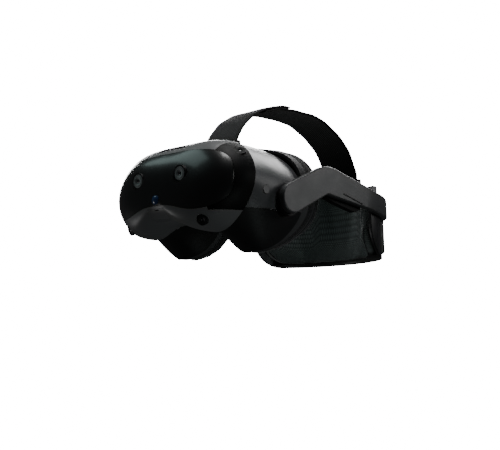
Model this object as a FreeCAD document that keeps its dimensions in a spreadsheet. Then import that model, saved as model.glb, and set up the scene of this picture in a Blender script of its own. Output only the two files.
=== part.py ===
import FreeCAD, Part
import math
import os
import re
import Sketcher
from FreeCAD import Placement, Rotation, Vector

# Headset frame, in millimetres: +X is the wearer's left, +Y runs back from the front cover to
# the fit dial, and +Z is up.  The origin is at the bottom centre of the whole headset, on the
# surface that it stands on.

doc = FreeCAD.newDocument("headset")
sheet = doc.addObject("Spreadsheet::Sheet", "sizes")

SIZES = [
    ("overall_length", 310, "front cover to fit dial"),
    ("visor_width", 178, "widest place of the front frame"),
    ("visor_height", 112, "top of the front frame above the table"),
    ("shell_wall", 2.2, "wall of every moulded cover"),
    ("seam", 0.3, "gap between neighbouring covers"),
    ("frame_depth", 48, "front cover to the back edge of the front frame"),
    ("crown_sink", 1.4, "foremost camera rim to the crown of the front cover"),
    ("nose_bulge_depth", 56, "front cover to where the front bulge turns straight"),
    ("front_lean", 0.16, "backward lean of the front, per millimetre of height"),
    ("housing_step", 2.2, "step from the front frame in to the rear housing"),
    ("face_radius", 132, "curve that the face cushion follows"),
    ("face_depth", 259, "front cover to the centre of the face curve"),
    ("cushion_depth", 14, "face cushion, front to back"),
    ("gasket_depth", 22, "face cushion and its carrier together, front to back"),
    ("cushion_width", 13, "face cushion, from its outer to its inner side"),
    ("eye_height", 62, "lens centres above the table"),
    ("lens_spacing", 64, "distance between the lens centres at rest"),
    ("lens_travel", 3.75, "travel of each lens to either side"),
    ("barrel_radius", 26, "outside of a lens barrel"),
    ("barrel_wall", 2, "wall of a lens barrel"),
    ("barrel_length", 50, "lens barrel, front to back"),
    ("barrel_depth", 39, "front cover to the front of the lens barrels"),
    ("bracket_depth", 76, "front cover to the front of the optics bracket"),
    ("bracket_thickness", 3, "optics bracket plate"),
    ("rod_radius", 1.5, "guide rod and spacing screw"),
    ("running_gap", 0.06, "radial clearance of a sliding or turning fit"),
    ("rod_depth", 64, "front cover to the guide rod and the spacing screw"),
    ("rod_rise", 30, "guide rod above the lens centres"),
    ("screw_rise", 37, "spacing screw above the lens centres"),
    ("fan_radius", 13, "outside of the fan housing"),
    ("fan_height", 7, "fan housing, bottom to top"),
    ("fan_floor", 96.5, "underside of the fan housing above the table"),
    ("button_radius", 4.2, "round push buttons"),
    ("button_travel", 0.8, "travel of a push button"),
    ("pivot_depth", 98, "front cover to the arm pivots"),
    ("pivot_height", 49, "arm pivots above the table"),
    ("pivot_radius", 4, "arm pivot pin"),
    ("collar_radius", 15, "black collar between housing and arm"),
    ("arm_gap", 1.2, "play between a collar and its arm"),
    ("arm_thickness", 6, "thickness of a side arm"),
    ("arm_clearance", 6, "outer face of an arm outside the front frame"),
    ("arm_end_radius", 15.2, "round front end of a side arm"),
    ("band_back", 4, "rear of the arms' curve to the back of the dial"),
    ("carrier_wall", 3.5, "curved wall of the rear carrier"),
    ("carrier_height", 88, "top of the rear carrier's spine above the table"),
    ("spine_width", 76, "middle part of the rear carrier that rises to the top strap"),
    ("wing_height", 64, "top of the rear carrier's wings above the table"),
    ("pad_thickness", 14, "rear cushion"),
    ("wing_start", 16, "front tips of the rear cushion behind the band's centre"),
    ("fit_travel", 20, "travel of the rear carrier along the arms"),
    ("module_width", 80, "rear module that holds the fit drive"),
    ("module_floor", 46, "underside of the rear module above the table"),
    ("module_top", 86, "top of the rear module above the table"),
    ("module_sink", 1, "back of the rear module inside the rear of the arms' curve"),
    ("dial_radius", 20, "fit dial"),
    ("dial_thickness", 5, "fit dial, front to back"),
    ("dial_shaft_radius", 4, "shaft of the fit dial"),
    ("tooth_module", 1.5, "module of the pinion and the toothed straps"),
    ("pinion_teeth", 12, "teeth of the pinion"),
    ("tooth_backlash", 0.35, "play between pinion and strap teeth"),
    ("battery_width", 92, "battery pack"),
    ("battery_proud", 1, "back of the battery behind the rear of the arms' curve"),
    ("battery_floor", 7, "underside of the battery above the table"),
    ("strap_width", 46, "top strap"),
    ("strap_thickness", 2, "one layer of the top strap"),
]

for row, (alias, value, meaning) in enumerate(SIZES, start=1):
    sheet.set("A%d" % row, meaning)
    sheet.set("B%d" % row, str(value))
    sheet.setAlias("B%d" % row, alias)
doc.recompute()


def size(alias):
    """The number that the sheet holds under this alias."""
    return float(sheet.get(alias))


def bind(piece, **formulas):
    """Tie properties to the sheet: a word in a formula is an alias of the sheet."""
    for name, formula in formulas.items():
        piece.setExpression(name, tied(formula))


def tied(formula):
    return re.sub(r"[a-z][a-z_]*", lambda word: "sizes." + word.group(0), formula)


TURN = {
    "X": Rotation(Vector(0, 0, 1), Vector(1, 0, 0)),
    "Y": Rotation(Vector(0, 0, 1), Vector(0, 1, 0)),
    "Z": Rotation(),
}


def put(piece, x, y, z, along="Z"):
    """Place a piece by formulas, with its own Z axis along the given axis."""
    piece.Placement = Placement(Vector(), TURN[along])
    piece.setExpression("Placement.Base.x", tied(x))
    piece.setExpression("Placement.Base.y", tied(y))
    piece.setExpression("Placement.Base.z", tied(z))
    return piece


def cylinder(name, radius, height, x, y, z, along):
    piece = doc.addObject("Part::Cylinder", name)
    bind(piece, Radius=radius, Height=height)
    return put(piece, x, y, z, along)


def box(name, length, width, height, x, y, z):
    """A box by formulas: its sizes along X, Y and Z and its lowest corner."""
    piece = doc.addObject("Part::Box", name)
    bind(piece, Length=length, Width=width, Height=height)
    return put(piece, x, y, z)


def fuse(label, *pieces):
    result = doc.addObject("Part::MultiFuse", label)
    result.Shapes = list(pieces)
    return result


def cut(label, base, *tools):
    tool = tools[0]
    if len(tools) > 1:
        tool = fuse(label + "_tools", *tools)
    result = doc.addObject("Part::Cut", label)
    result.Base = base
    result.Tool = tool
    return result


def mirrored(label, source):
    """The right-hand twin of a left-hand piece."""
    result = doc.addObject("Part::Mirroring", label)
    result.Source = source
    result.Normal = Vector(1, 0, 0)
    return result


def feature(label, shape):
    """A piece whose surface neither a sketch nor a primitive can make."""
    result = doc.addObject("Part::Feature", label)
    result.Shape = shape
    result.Placement = shape.Placement
    return result


NODES = []


def node(piece, label=None):
    """Keep this piece as a sub-part of the headset."""
    if label:
        piece.Label = label
    NODES.append(piece)
    return piece


# ---------------------------------------------------------------- places worked out from sizes

FRONT = "(-overall_length / 2)"
front_y = -size("overall_length") / 2
half_width = size("visor_width") / 2
wall = size("shell_wall")
seam = size("seam")
frame_back = front_y + size("frame_depth")
face_y = front_y + size("face_depth")
arm_outer = half_width + size("arm_clearance")
band_y = size("overall_length") / 2 - size("band_back") - arm_outer
arm_inner = arm_outer - size("arm_thickness")
pivot_y = front_y + size("pivot_depth")
pivot_z = size("pivot_height")
eye_z = size("eye_height")
FAR = 400.0                 # reaches past the headset in every direction
DESIGN_WIDTH = 178.0        # the width and height that the outlines below are drawn for
DESIGN_HEIGHT = 112.0
wide = size("visor_width") / DESIGN_WIDTH
tall = size("visor_height") / DESIGN_HEIGHT


# ---------------------------------------------------------------- outlines, seen from the front
# Each is its right half, from the top centre down to the bottom centre, as (x, z).

FRAME_OUTLINE = [(0, 112), (26, 112), (48, 110), (68, 102), (82, 88), (88.5, 72), (87, 56), (80, 42),
                 (70, 31), (59, 22.5), (47, 19), (34, 20.5), (21, 26), (9, 29.5), (0, 30.2)]
COVER_OUTLINE = [(0, 99), (27, 98.5), (49, 97), (65, 93.5), (76, 86), (81.5, 75), (82.5, 63), (79, 51),
                 (70, 43), (58, 39.5), (46, 39), (33, 41.5), (22, 44.5), (11, 46.2), (0, 46.6)]
HOUSING_MIDDLE = [(0, 115), (28, 113), (50, 106.5), (64, 99), (75, 89), (82.5, 76), (85, 61), (82, 44),
                  (73, 22), (60, 5.4), (47, 0.9), (34, 5.2), (23, 19), (12, 34), (0, 40)]
HOUSING_BACK = [(0, 110), (28, 108.5), (48, 102.5), (62, 94), (73, 82), (79.5, 68), (81, 55), (78, 39),
                (69, 19), (57, 6.4), (45, 3.2), (33, 8.4), (22, 23), (11, 40), (0, 48)]
GASKET_OUTLINE = [(0, 112), (28, 110.5), (50, 106), (66, 98.5), (76, 85), (80, 66), (78.5, 45), (69.5, 21),
                  (57.5, 5.2), (45, 0.55), (32.5, 6.2), (21.5, 22), (11, 39.5), (0, 47)]


def scaled(outline):
    return [(x * wide, z * tall) for x, z in outline]


def loop(half):
    """The whole outline, from its right half and the mirrored left half."""
    left = [(-x, z) for x, z in reversed(half[1:-1])]
    return half + left


def inset(half, distance):
    """The same half outline, moved inwards at right angles to its own curve."""
    points = loop(half)
    count = len(points)
    moved = []
    for index in range(len(half)):
        before = points[index - 1]
        after = points[(index + 1) % count]
        run_x = after[0] - before[0]
        run_z = after[1] - before[1]
        length = math.hypot(run_x, run_z)
        x, z = points[index]
        moved.append((x + run_z / length * distance, z - run_x / length * distance))
    return moved


def outline_curve(half, y):
    curve = Part.BSplineCurve()
    curve.interpolate([Vector(x, y, z) for x, z in loop(half)], PeriodicFlag=True)
    return curve


def outline_wire(half, y):
    return Part.Wire([outline_curve(half, y).toShape()])


def prism(half, y_start, y_end):
    """A bar along Y with this outline as its section."""
    face = Part.Face(outline_wire(half, y_start))
    return face.extrude(Vector(0, y_end - y_start, 0))


def block(x_range, y_range, z_range):
    low = Vector(x_range[0], y_range[0], z_range[0])
    return Part.makeBox(x_range[1] - x_range[0], y_range[1] - y_range[0], z_range[1] - z_range[0], low)


def upright(radius, y_centre, z_low=-FAR, z_high=FAR):
    """A round post along Z, centred on X = 0."""
    return Part.makeCylinder(radius, z_high - z_low, Vector(0, y_centre, z_low))


# ---------------------------------------------------------------- the front bulge
# The front of the visor is one bulge.  Seen from the front, every point of it lies a share
# (0 at the crown, 1 at the rim) of the way out along a ray to the frame outline, and its
# depth follows that share on a superellipse.

BULGE_POWER = 3.0
CROWN_HEIGHT = 58.0
GRID = 14                   # grid steps from the crown to the rim


def rim_distance(half):
    """Distance from the crown to the outline, as a function of the angle."""
    curve = outline_curve(half, 0)
    samples = []
    steps = 1440
    first = curve.FirstParameter
    span = curve.LastParameter - first
    crown = CROWN_HEIGHT * tall
    for step in range(steps):
        point = curve.value(first + span * step / steps)
        angle = math.atan2(point.z - crown, point.x)
        samples.append((angle, math.hypot(point.x, point.z - crown)))
    samples.sort()
    samples = [(samples[-1][0] - 2 * math.pi, samples[-1][1])] + samples
    samples.append((samples[1][0] + 2 * math.pi, samples[1][1]))

    def distance(angle):
        low = 0
        high = len(samples) - 1
        while high - low > 1:
            middle = (low + high) // 2
            if samples[middle][0] <= angle:
                low = middle
            else:
                high = middle
        start, near = samples[low]
        end, far = samples[high]
        return near + (far - near) * (angle - start) / (end - start)

    return distance


def bulge(half, start_y, depth):
    """The solid bulge with this outline, from start_y back to its flat rear face."""
    distance = rim_distance(half)
    crown = CROWN_HEIGHT * tall
    lean = size("front_lean")
    rows = []
    for i in range(-GRID, GRID + 1):
        row = []
        for j in range(-GRID, GRID + 1):
            u = i / GRID
            v = j / GRID
            across = u * math.sqrt(1 - v * v / 2)
            up = v * math.sqrt(1 - u * u / 2)
            radius = min(1.0, math.hypot(across, up))
            angle = math.atan2(up, across)
            share = math.sin(radius * math.pi / 2)
            sink = 1 - max(0.0, 1 - share ** BULGE_POWER) ** (1 / BULGE_POWER)
            x = share * distance(angle) * math.cos(angle)
            z = crown + share * distance(angle) * math.sin(angle)
            row.append(Vector(x, start_y + depth * sink + lean * (z - crown), z))
        rows.append(row)
    surface = Part.BSplineSurface()
    surface.interpolate(rows)
    front = surface.toShape()
    back = Part.Face(Part.Wire(Part.__sortEdges__(front.Edges)))
    shell = Part.makeShell([front, back])
    solid = Part.makeSolid(shell)
    if solid.Volume < 0:
        solid.reverse()
    return solid


bulge_depth = size("nose_bulge_depth")
frame_half = scaled(FRAME_OUTLINE)
crown_y = front_y + size("crown_sink")
outer_bulge = bulge(frame_half, crown_y, bulge_depth)
inner_bulge = bulge(inset(frame_half, wall), crown_y + wall, bulge_depth)


def leaning_slab(y_start, y_end):
    """Everything between two leaning planes that meet the crown's height at these depths."""
    low_shift = size("front_lean") * (-FAR - CROWN_HEIGHT * tall)
    high_shift = size("front_lean") * (FAR - CROWN_HEIGHT * tall)
    corners = [(y_start + low_shift, -FAR), (y_end + low_shift, -FAR),
               (y_end + high_shift, FAR), (y_start + high_shift, FAR)]
    points = [Vector(-FAR, y, z) for y, z in corners + corners[:1]]
    return Part.Face(Part.makePolygon(points)).extrude(Vector(2 * FAR, 0, 0))


front_shell = outer_bulge.cut(inner_bulge).common(leaning_slab(front_y - FAR / 4, frame_back))


def first_hit(solid, start, direction):
    """Where a ray from outside first meets a solid."""
    ray = Part.makeLine(start, start + direction * FAR)
    points = [vertex.Point for vertex in ray.common(solid).Vertexes]
    return min(points, key=lambda point: (point - start).Length)


def rounded(corners, plane):
    """A face with rounded corners: (a, b, radius) each, in the XY, XZ or YZ plane."""
    def place(a, b):
        return {"XY": Vector(a, b, 0), "XZ": Vector(a, 0, b), "YZ": Vector(0, a, b)}[plane]

    count = len(corners)
    ends = []
    for index, (a, b, radius) in enumerate(corners):
        corner = place(a, b)
        before = place(*corners[index - 1][:2]) - corner
        after = place(*corners[(index + 1) % count][:2]) - corner
        before.normalize()
        after.normalize()
        half = before.getAngle(after) / 2
        if radius == 0:
            ends.append((corner, corner, None))
            continue
        reach = radius / math.tan(half)
        bisector = (before + after).normalize()
        middle = corner + bisector * (radius / math.sin(half) - radius)
        ends.append((corner + before * reach, corner + after * reach, middle))
    edges = []
    for index, (start, finish, middle) in enumerate(ends):
        if middle is not None:
            edges.append(Part.Arc(start, middle, finish).toShape())
        following = ends[(index + 1) % count][0]
        if (following - finish).Length > 1e-6:
            edges.append(Part.makeLine(finish, following))
    return Part.Face(Part.Wire(edges))


def bar(corners, plane, low, high):
    """A rounded outline drawn out along the axis across its plane, from low to high."""
    axis = {"XY": Vector(0, 0, 1), "XZ": Vector(0, 1, 0), "YZ": Vector(1, 0, 0)}[plane]
    face = rounded(corners, plane)
    face.translate(axis * low)
    return face.extrude(axis * (high - low))


def rod(radius, start, direction, length):
    return Part.makeCylinder(radius, length, start, direction)


# ---------------------------------------------------------------- camera modules
# Each is a turned barrel whose own Z axis runs inwards from the cover's surface.

def camera(label, radius, length, proud, spot, inwards):
    """A camera barrel: a rim that stands proud, a cone down to its window, and a plain back."""
    body = doc.addObject("PartDesign::Body", label)
    corners = [("0", "1.6"), (radius + " * 0.45", "1.6"), (radius + " * 0.75", "0.5"),
               (radius + " * 0.85", "-" + proud), (radius, "-" + proud), (radius, length), ("0", length)]
    profile = sketch(body, "XZ_Plane", corners)
    turned = body.newObject("PartDesign::Revolution", label + "_turn")
    turned.Profile = profile
    turned.ReferenceAxis = (profile, ["V_Axis"])
    turned.Angle = 360
    body.Placement = Placement(spot, Rotation(Vector(0, 0, 1), inwards))
    return body


def number(formula):
    return float(sheet.evalExpression(tied(formula)))


def sketch(body, role, corners):
    """A closed sketch of straight lines; each corner's two distances are formulas."""
    profile = body.newObject("Sketcher::SketchObject", body.Name + "_sketch")
    for plane in body.Origin.OriginFeatures:
        if plane.Role == role:
            profile.AttachmentSupport = (plane, [""])
    profile.MapMode = "FlatFace"
    places = [Vector(number(a), number(b), 0) for a, b in corners]
    count = len(corners)
    for index in range(count):
        profile.addGeometry(Part.LineSegment(places[index], places[(index + 1) % count]), False)
    for index in range(count):
        profile.addConstraint(Sketcher.Constraint("Coincident", index, 2, (index + 1) % count, 1))
    for index, (a, b) in enumerate(corners):
        for kind, formula, value in (("DistanceX", a, places[index].x), ("DistanceY", b, places[index].y)):
            rule = profile.addConstraint(Sketcher.Constraint(kind, -1, 1, index, 1, value))
            profile.setExpression("Constraints[%d]" % rule, tied(formula))
    return profile


# ---------------------------------------------------------------- cameras in the front bulge

into = Vector(0, 1, 0)
UPPER_INWARDS = Vector(-0.55, 0.42, -0.72).normalize()
LOWER_INWARDS = Vector(-0.30, 0.90, 0.32).normalize()
# Each camera: name, a point near its window, its inward direction, and three formulas.
CAMERAS = [
    ("passthrough_camera", Vector(30.5 * wide, front_y, 75 * tall), into, "8.2", "13", "0.6"),
    ("tracking_camera_upper", Vector(75 * wide, front_y + 44, 94.6 * tall), UPPER_INWARDS, "5.6", "9", "0.3"),
    ("tracking_camera_lower", Vector(52 * wide, front_y + 14, 28.5 * tall), LOWER_INWARDS, "5.6", "9", "0.3"),
]
CAMERA_PLAY = 0.15
sensor_spot = first_hit(outer_bulge, Vector(0, front_y - 20, 52.2 * tall), into)
node(camera("depth_sensor", "4.6", "10", "0.5", sensor_spot, into))
camera_bores = [rod(4.6 + CAMERA_PLAY, sensor_spot - into * 12, into, 40)]
for label, middle, inwards, radius, length, proud in CAMERAS:
    spot = first_hit(outer_bulge, middle - inwards * 40, inwards)
    left_camera = camera(label + "_left", radius, length, proud, spot, inwards)
    node(left_camera)
    node(mirrored(label + "_right", left_camera))
    bore = rod(float(radius) + CAMERA_PLAY, spot - inwards * 12, inwards, 40)
    camera_bores += [bore, bore.mirror(Vector(), Vector(1, 0, 0))]

# ---------------------------------------------------------------- covers of the front

cover_half = scaled(COVER_OUTLINE)
cover_bar = prism(cover_half, front_y - 20, frame_back + 20)
cover_room = prism(inset(cover_half, -seam), front_y - 20, frame_back + 20)
panel_start = 61 * wide
panel_corners = [(front_y - 20, 37 * tall, 0), (frame_back + 20, 37 * tall, 0),
                 (frame_back + 20, 104 * tall, 0), (front_y - 20, 104 * tall, 0)]
panel_room_corners = [(front_y - 20, 37 * tall - seam, 0), (frame_back + 20, 37 * tall - seam, 0),
                      (frame_back + 20, 104 * tall + seam, 0), (front_y - 20, 104 * tall + seam, 0)]
panel_bar = bar(panel_corners, "YZ", panel_start, FAR)
panel_room = bar(panel_room_corners, "YZ", panel_start - seam, FAR)


def pill(half_a, half_b, a, b, radius):
    """Corners of a rounded rectangle about a centre."""
    return [(a - half_a, b - half_b, radius), (a + half_a, b - half_b, radius),
            (a + half_a, b + half_b, radius), (a - half_a, b + half_b, radius)]


vent_y = front_y + 27
vent_bar = bar(pill(21 * wide, 3.8, 0, vent_y, 2.8), "XY", 90 * tall, 120 * tall)
port_z = 38.4 * tall
port_bar = bar(pill(12 + seam, 4.8 + seam, 0, port_z, 1.8), "XZ", front_y - 20, front_y + 30)
port_fill = bar(pill(12, 4.8, 0, port_z, 1.5), "XZ", front_y - 20, front_y + 30)
notch = bar(pill(3, 0.5, 0, port_z + 3.6, 0.4), "XZ", front_y - 20, front_y + 30)
port_socket = bar(pill(4.5, 1.6, 0, port_z, 1.5), "XZ", front_y - 20, front_y + 30)

mid_z = 66 * tall
above_middle = block((-FAR, FAR), (-FAR, FAR), (mid_z, FAR))
below_middle = block((-FAR, FAR), (-FAR, FAR), (-FAR, mid_z))
node(feature("front_cover", front_shell.common(cover_bar).cut(camera_bores)))
around_cover = front_shell.cut([cover_room] + camera_bores)
side_panel = around_cover.common(panel_bar)
node(feature("side_panel_left", side_panel))
node(feature("side_panel_right", side_panel.mirror(Vector(), Vector(1, 0, 0))))
frames = around_cover.cut([panel_room, panel_room.mirror(Vector(), Vector(1, 0, 0))])
node(feature("top_frame", frames.common(above_middle).cut(vent_bar)))
node(feature("lower_frame", frames.common(below_middle).cut(port_bar)))
node(feature("port_cover", around_cover.common(port_fill).cut(notch)))
grille_sink = 1.0
sunk_bulge = bulge(inset(frame_half, grille_sink), crown_y + grille_sink, bulge_depth)
node(feature("vent_grille", around_cover.common(vent_bar).common(sunk_bulge)))

# ---------------------------------------------------------------- rear housing

step = size("housing_step")
housing_sections = [
    (front_y + 30, inset(frame_half, step)),
    (front_y + 50, inset(frame_half, step)),
    (front_y + 78, scaled(HOUSING_MIDDLE)),
    (front_y + 121, scaled(HOUSING_BACK)),
    (front_y + 155, inset(scaled(HOUSING_BACK), 1)),
]


def housing_loft(distance):
    wires = [outline_wire(inset(half, distance) if distance else half, y) for y, half in housing_sections]
    return Part.makeLoft(wires, True, False)


housing_outer = housing_loft(0)
housing_inner = housing_loft(wall)
bracket_room = housing_loft(wall + seam)
FACE_FLARE = 42.0           # radius by which the face curve swings forwards at the cheeks


def face_post(radius):
    """The space on the wearer's side of the face curve, at this radius about an upright axis."""
    foot = Vector(radius + FACE_FLARE, 0, 0)
    turn = Vector(radius, 0, FACE_FLARE)
    middle = Vector(radius + FACE_FLARE * (1 - math.sqrt(0.5)), 0, FACE_FLARE * (1 - math.sqrt(0.5)))
    corners = [turn, Vector(radius, 0, FAR), Vector(0, 0, FAR), Vector(0, 0, -FAR),
               Vector(foot.x, 0, -FAR), foot]
    edges = [Part.makeLine(corners[index], corners[index + 1]) for index in range(5)]
    edges.append(Part.Arc(foot, middle, turn).toShape())
    post = Part.Face(Part.Wire(edges)).revolve(Vector(), Vector(0, 0, 1), 360)
    post.translate(Vector(0, face_y, 0))
    return post


behind_frame = leaning_slab(frame_back + seam, FAR)
housing_end = face_post(size("face_radius") + size("gasket_depth") + seam)
housing_shell = housing_outer.cut(housing_inner).common(behind_frame).cut(housing_end)
split_z = 40 * tall
under_room = block((-FAR, FAR), (-FAR, FAR), (-FAR, split_z)).fuse(
    block((-30 * wide, 30 * wide), (-FAR, FAR), (-FAR, 62 * tall)))
under_fill = block((-FAR, FAR), (-FAR, FAR), (-FAR, split_z - seam)).fuse(
    block((-30 * wide + seam, 30 * wide - seam), (-FAR, FAR), (-FAR, 62 * tall)))

# Openings in the housing: power button on the left; rocker, jack and socket on the right.
button_y = front_y + 68
button_z = 58 * tall
out_left = Vector(-1, 0, 0)
button_hit = first_hit(housing_outer, Vector(FAR / 2, button_y, button_z), out_left)
side_x = button_hit.x
button_r = size("button_radius")
button_bore = rod(button_r + seam, Vector(side_x - 20, button_y, button_z), Vector(1, 0, 0), 40)
jack_y = front_y + 57.5
jack_z = 45 * tall
socket_y = front_y + 69.5
rocker_bar = bar(pill(6.8 + seam, 2.6 + seam, button_y, button_z + 4, 2.8), "YZ", -side_x - 20, -side_x + 20)
jack_bore = rod(3.4, Vector(-side_x - 20, jack_y, jack_z), Vector(1, 0, 0), 40)
socket_bar = bar(pill(4.9, 2.0, socket_y, jack_z, 1.9), "YZ", -side_x - 20, -side_x + 20)
side_openings = [button_bore, rocker_bar, jack_bore, socket_bar]
pin_bore = rod(size("pivot_radius"), Vector(-FAR, pivot_y, pivot_z), Vector(1, 0, 0), 2 * FAR)
node(feature("rear_housing", housing_shell.cut(under_room).cut(side_openings + [pin_bore])))
node(feature("under_cover", housing_shell.common(under_fill).cut([pin_bore])))


# ---------------------------------------------------------------- face gasket and its cushion

gasket_half = scaled(GASKET_OUTLINE)
gasket_wall = 2.5
tube_start = front_y + 50
tube_end = face_y


def gasket_tube(outer, inner):
    return prism(inset(gasket_half, outer) if outer else gasket_half, tube_start, tube_end).cut(
        prism(inset(gasket_half, inner), tube_start - 1, tube_end + 1))


face_r = size("face_radius")
cushion_r = face_r + size("cushion_depth")
gasket_r = face_r + size("gasket_depth")
flange = 2.0
carrier_skin = gasket_tube(0, gasket_wall).common(face_post(gasket_r)).cut(face_post(cushion_r))
carrier_flange = gasket_tube(0, size("cushion_width")).common(
    face_post(cushion_r + flange)).cut(face_post(cushion_r))
node(feature("gasket_frame", carrier_skin.fuse(carrier_flange).removeSplitter()))
cushion_tube = gasket_tube(0, size("cushion_width")).common(face_post(cushion_r - seam))
node(feature("face_cushion", cushion_tube.cut(face_post(face_r))))
guard_room = block((-24 * wide, 24 * wide), (-FAR, FAR), (-FAR, 70 * tall))
guard_tube = gasket_tube(gasket_wall + seam, gasket_wall + seam + 1.6)
node(feature("nose_guard", guard_tube.common(guard_room).common(
    face_post(gasket_r + 10)).cut(face_post(cushion_r + flange))))

# ---------------------------------------------------------------- optics

BRACKET = "(%s + bracket_depth)" % FRONT
bracket_y = number(BRACKET)
bracket_back = bracket_y + size("bracket_thickness")
lens_x = size("lens_spacing") / 2
travel = size("lens_travel")
opening_r = size("barrel_radius") + 1
rod_y = front_y + size("rod_depth")
rail_z = eye_z + size("rod_rise")
screw_z = eye_z + size("screw_rise")
rod_r = size("rod_radius")
plate = bracket_room.common(block((-FAR, FAR), (bracket_y, bracket_back), (-FAR, FAR)))
for middle in (-lens_x, lens_x):
    window = pill(opening_r + travel, opening_r, middle, eye_z, opening_r - 0.01)
    plate = plate.cut(bar(window, "XZ", bracket_y - 1, bracket_back + 1))
board_y = front_y + 24
board_thick = 1.6
post_spots = [(-50, eye_z + 26), (50, eye_z + 26), (0, eye_z - 19)]
posts = [rod(2.5, Vector(x, board_y + board_thick, z), into, bracket_y - board_y - board_thick)
         for x, z in post_spots]
rail_ends = [block((58, 63), (rod_y - 3, bracket_y), (rail_z - 3.5, rail_z + 3.5)),
             block((47, 51), (rod_y - 3, bracket_y), (screw_z - 3, screw_z + 3))]
rail_ends += [shape.mirror(Vector(), Vector(1, 0, 0)) for shape in rail_ends]
bracket = plate.fuse(posts + rail_ends)
rail_bore = rod(rod_r, Vector(-FAR / 4, rod_y, rail_z), Vector(1, 0, 0), FAR / 2)
screw_bore = rod(rod_r + size("running_gap"), Vector(-FAR / 4, rod_y, screw_z), Vector(1, 0, 0), FAR / 2)
screw_holes = [rod(1.2, Vector(x, board_y, z), into, 9) for x, z in post_spots]
node(feature("optics_bracket", bracket.cut([rail_bore, screw_bore] + screw_holes)))

ROD = "(%s + rod_depth)" % FRONT
RAIL_Z = "(eye_height + rod_rise)"
SCREW_Z = "(eye_height + screw_rise)"
node(cylinder("guide_rod", "rod_radius", "126", "-63", ROD, RAIL_Z, "X"))
node(cylinder("spacing_screw", "rod_radius", "102", "-51", ROD, SCREW_Z, "X"))
motor = cylinder("motor_case", "4.3", "18", "-9", ROD, SCREW_Z, "X")
motor_foot = box("motor_foot", "8", "bracket_depth - rod_depth", "4", "-4", ROD, SCREW_Z + " - 2")
motor_bore = cylinder("motor_bore", "rod_radius + running_gap", "20", "-10", ROD, SCREW_Z, "X")
node(cut("spacing_motor", fuse("motor_body", motor, motor_foot), motor_bore))

BARREL = "(%s + barrel_depth)" % FRONT
LENS_X = "(lens_spacing / 2)"
DISPLAY = "(barrel_radius * 1.27)"


def lens_unit(side, sign):
    """One lens barrel with its display and lens; the lug on top runs on the two rods."""
    middle = "(%s%s)" % (sign, LENS_X)
    tube = cylinder("tube_" + side, "barrel_radius", "barrel_length", middle, BARREL, "eye_height", "Y")
    lug = box("lug_" + side, "10", "8", "screw_rise + 4", middle + " - 5", ROD + " - 4", "eye_height")
    hollow = cylinder("hollow_" + side, "barrel_radius - barrel_wall", "barrel_length + 2",
                      middle, BARREL + " - 1", "eye_height", "Y")
    hole = "rod_radius + running_gap"
    rail = cylinder("rail_hole_" + side, hole, "20", middle + " - 10", ROD, RAIL_Z, "X")
    screw = cylinder("screw_hole_" + side, hole, "20", middle + " - 10", ROD, SCREW_Z, "X")
    node(cut("lens_barrel_" + side, fuse("barrel_body_" + side, tube, lug), hollow, rail, screw))
    node(box("display_" + side, DISPLAY, "2", DISPLAY, "%s - %s / 2" % (middle, DISPLAY), BARREL,
             "eye_height - %s / 2" % DISPLAY))
    disc = cylinder("disc_" + side, "barrel_radius - barrel_wall", "9", middle, BARREL + " + barrel_length - 12",
                    "eye_height", "Y")
    ball = doc.addObject("Part::Sphere", "ball_" + side)
    bind(ball, Radius="60")
    put(ball, middle, BARREL + " + barrel_length - 63.5", "eye_height")
    lens = doc.addObject("Part::Common", "lens_" + side)
    lens.Base = disc
    lens.Tool = ball
    node(lens)


lens_unit("left", "")
lens_unit("right", "-")

# ---------------------------------------------------------------- electronics and cooling

board = block((-54, 54), (board_y, board_y + board_thick), (eye_z - 22, eye_z + 30))
node(feature("main_board", board.cut(screw_holes)))
screws = []
for x, z in post_spots:
    screw_head = rod(2.3, Vector(x, board_y - 1.3, z), into, 1.3)
    screws.append(screw_head.fuse(rod(1.2, Vector(x, board_y - 0.1, z), into, 8)))
node(feature("board_screws", Part.makeCompound(screws)))
BOARD_BACK = "(%s + 25.6)" % FRONT
sink_base = box("sink_base", "76", "1.5", "32", "-38", BOARD_BACK, "eye_height - 10")
sink_fins = []
for index in range(13):
    offset = "%g" % (-38 + index * 75 / 12)
    sink_fins.append(box("sink_fin_%d" % index, "1", "7", "32", offset, BOARD_BACK, "eye_height - 10"))
node(fuse("heat_sink", sink_base, *sink_fins))
FAN = "(%s + 44)" % FRONT
fan_case = cylinder("fan_case", "fan_radius", "fan_height + 1", "0", FAN, "fan_floor", "Z")
fan_top = "fan_floor + fan_height"
fan_tab = box("fan_tab", "12", "bracket_depth - 55", "2", "-6", FRONT + " + 55", fan_top)
fan_hollow = cylinder("fan_hollow", "fan_radius - 1", "fan_height + 3", "0", FAN, "fan_floor + 1", "Z")
fan_pin = cylinder("fan_pin", "1", "fan_height - 0.5", "0", FAN, "fan_floor", "Z")
node(fuse("fan_housing", cut("fan_shell", fuse("fan_block", fan_case, fan_tab), fan_hollow), fan_pin))
hub = cylinder("fan_hub", "4", "fan_height - 3", "0", FAN, "fan_floor + 2", "Z")
blades = []
BLADES = 9
for index in range(BLADES):
    blade = doc.addObject("Part::Box", "fan_blade_%d" % index)
    bind(blade, Length="fan_radius - 2", Width="0.8", Height="fan_height - 3")
    turn = Rotation(Vector(0, 0, 1), 360.0 * index / BLADES)
    put(blade, "0", FAN, "fan_floor + 2")
    blade.Placement = Placement(blade.Placement.Base, turn)
    blades.append(blade)
fan_hole = cylinder("fan_hole", "1 + running_gap", "fan_height + 2", "0", FAN, "fan_floor", "Z")
node(cut("fan_rotor", fuse("fan_wheel", hub, *blades), fan_hole))

# ---------------------------------------------------------------- buttons and sockets

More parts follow.
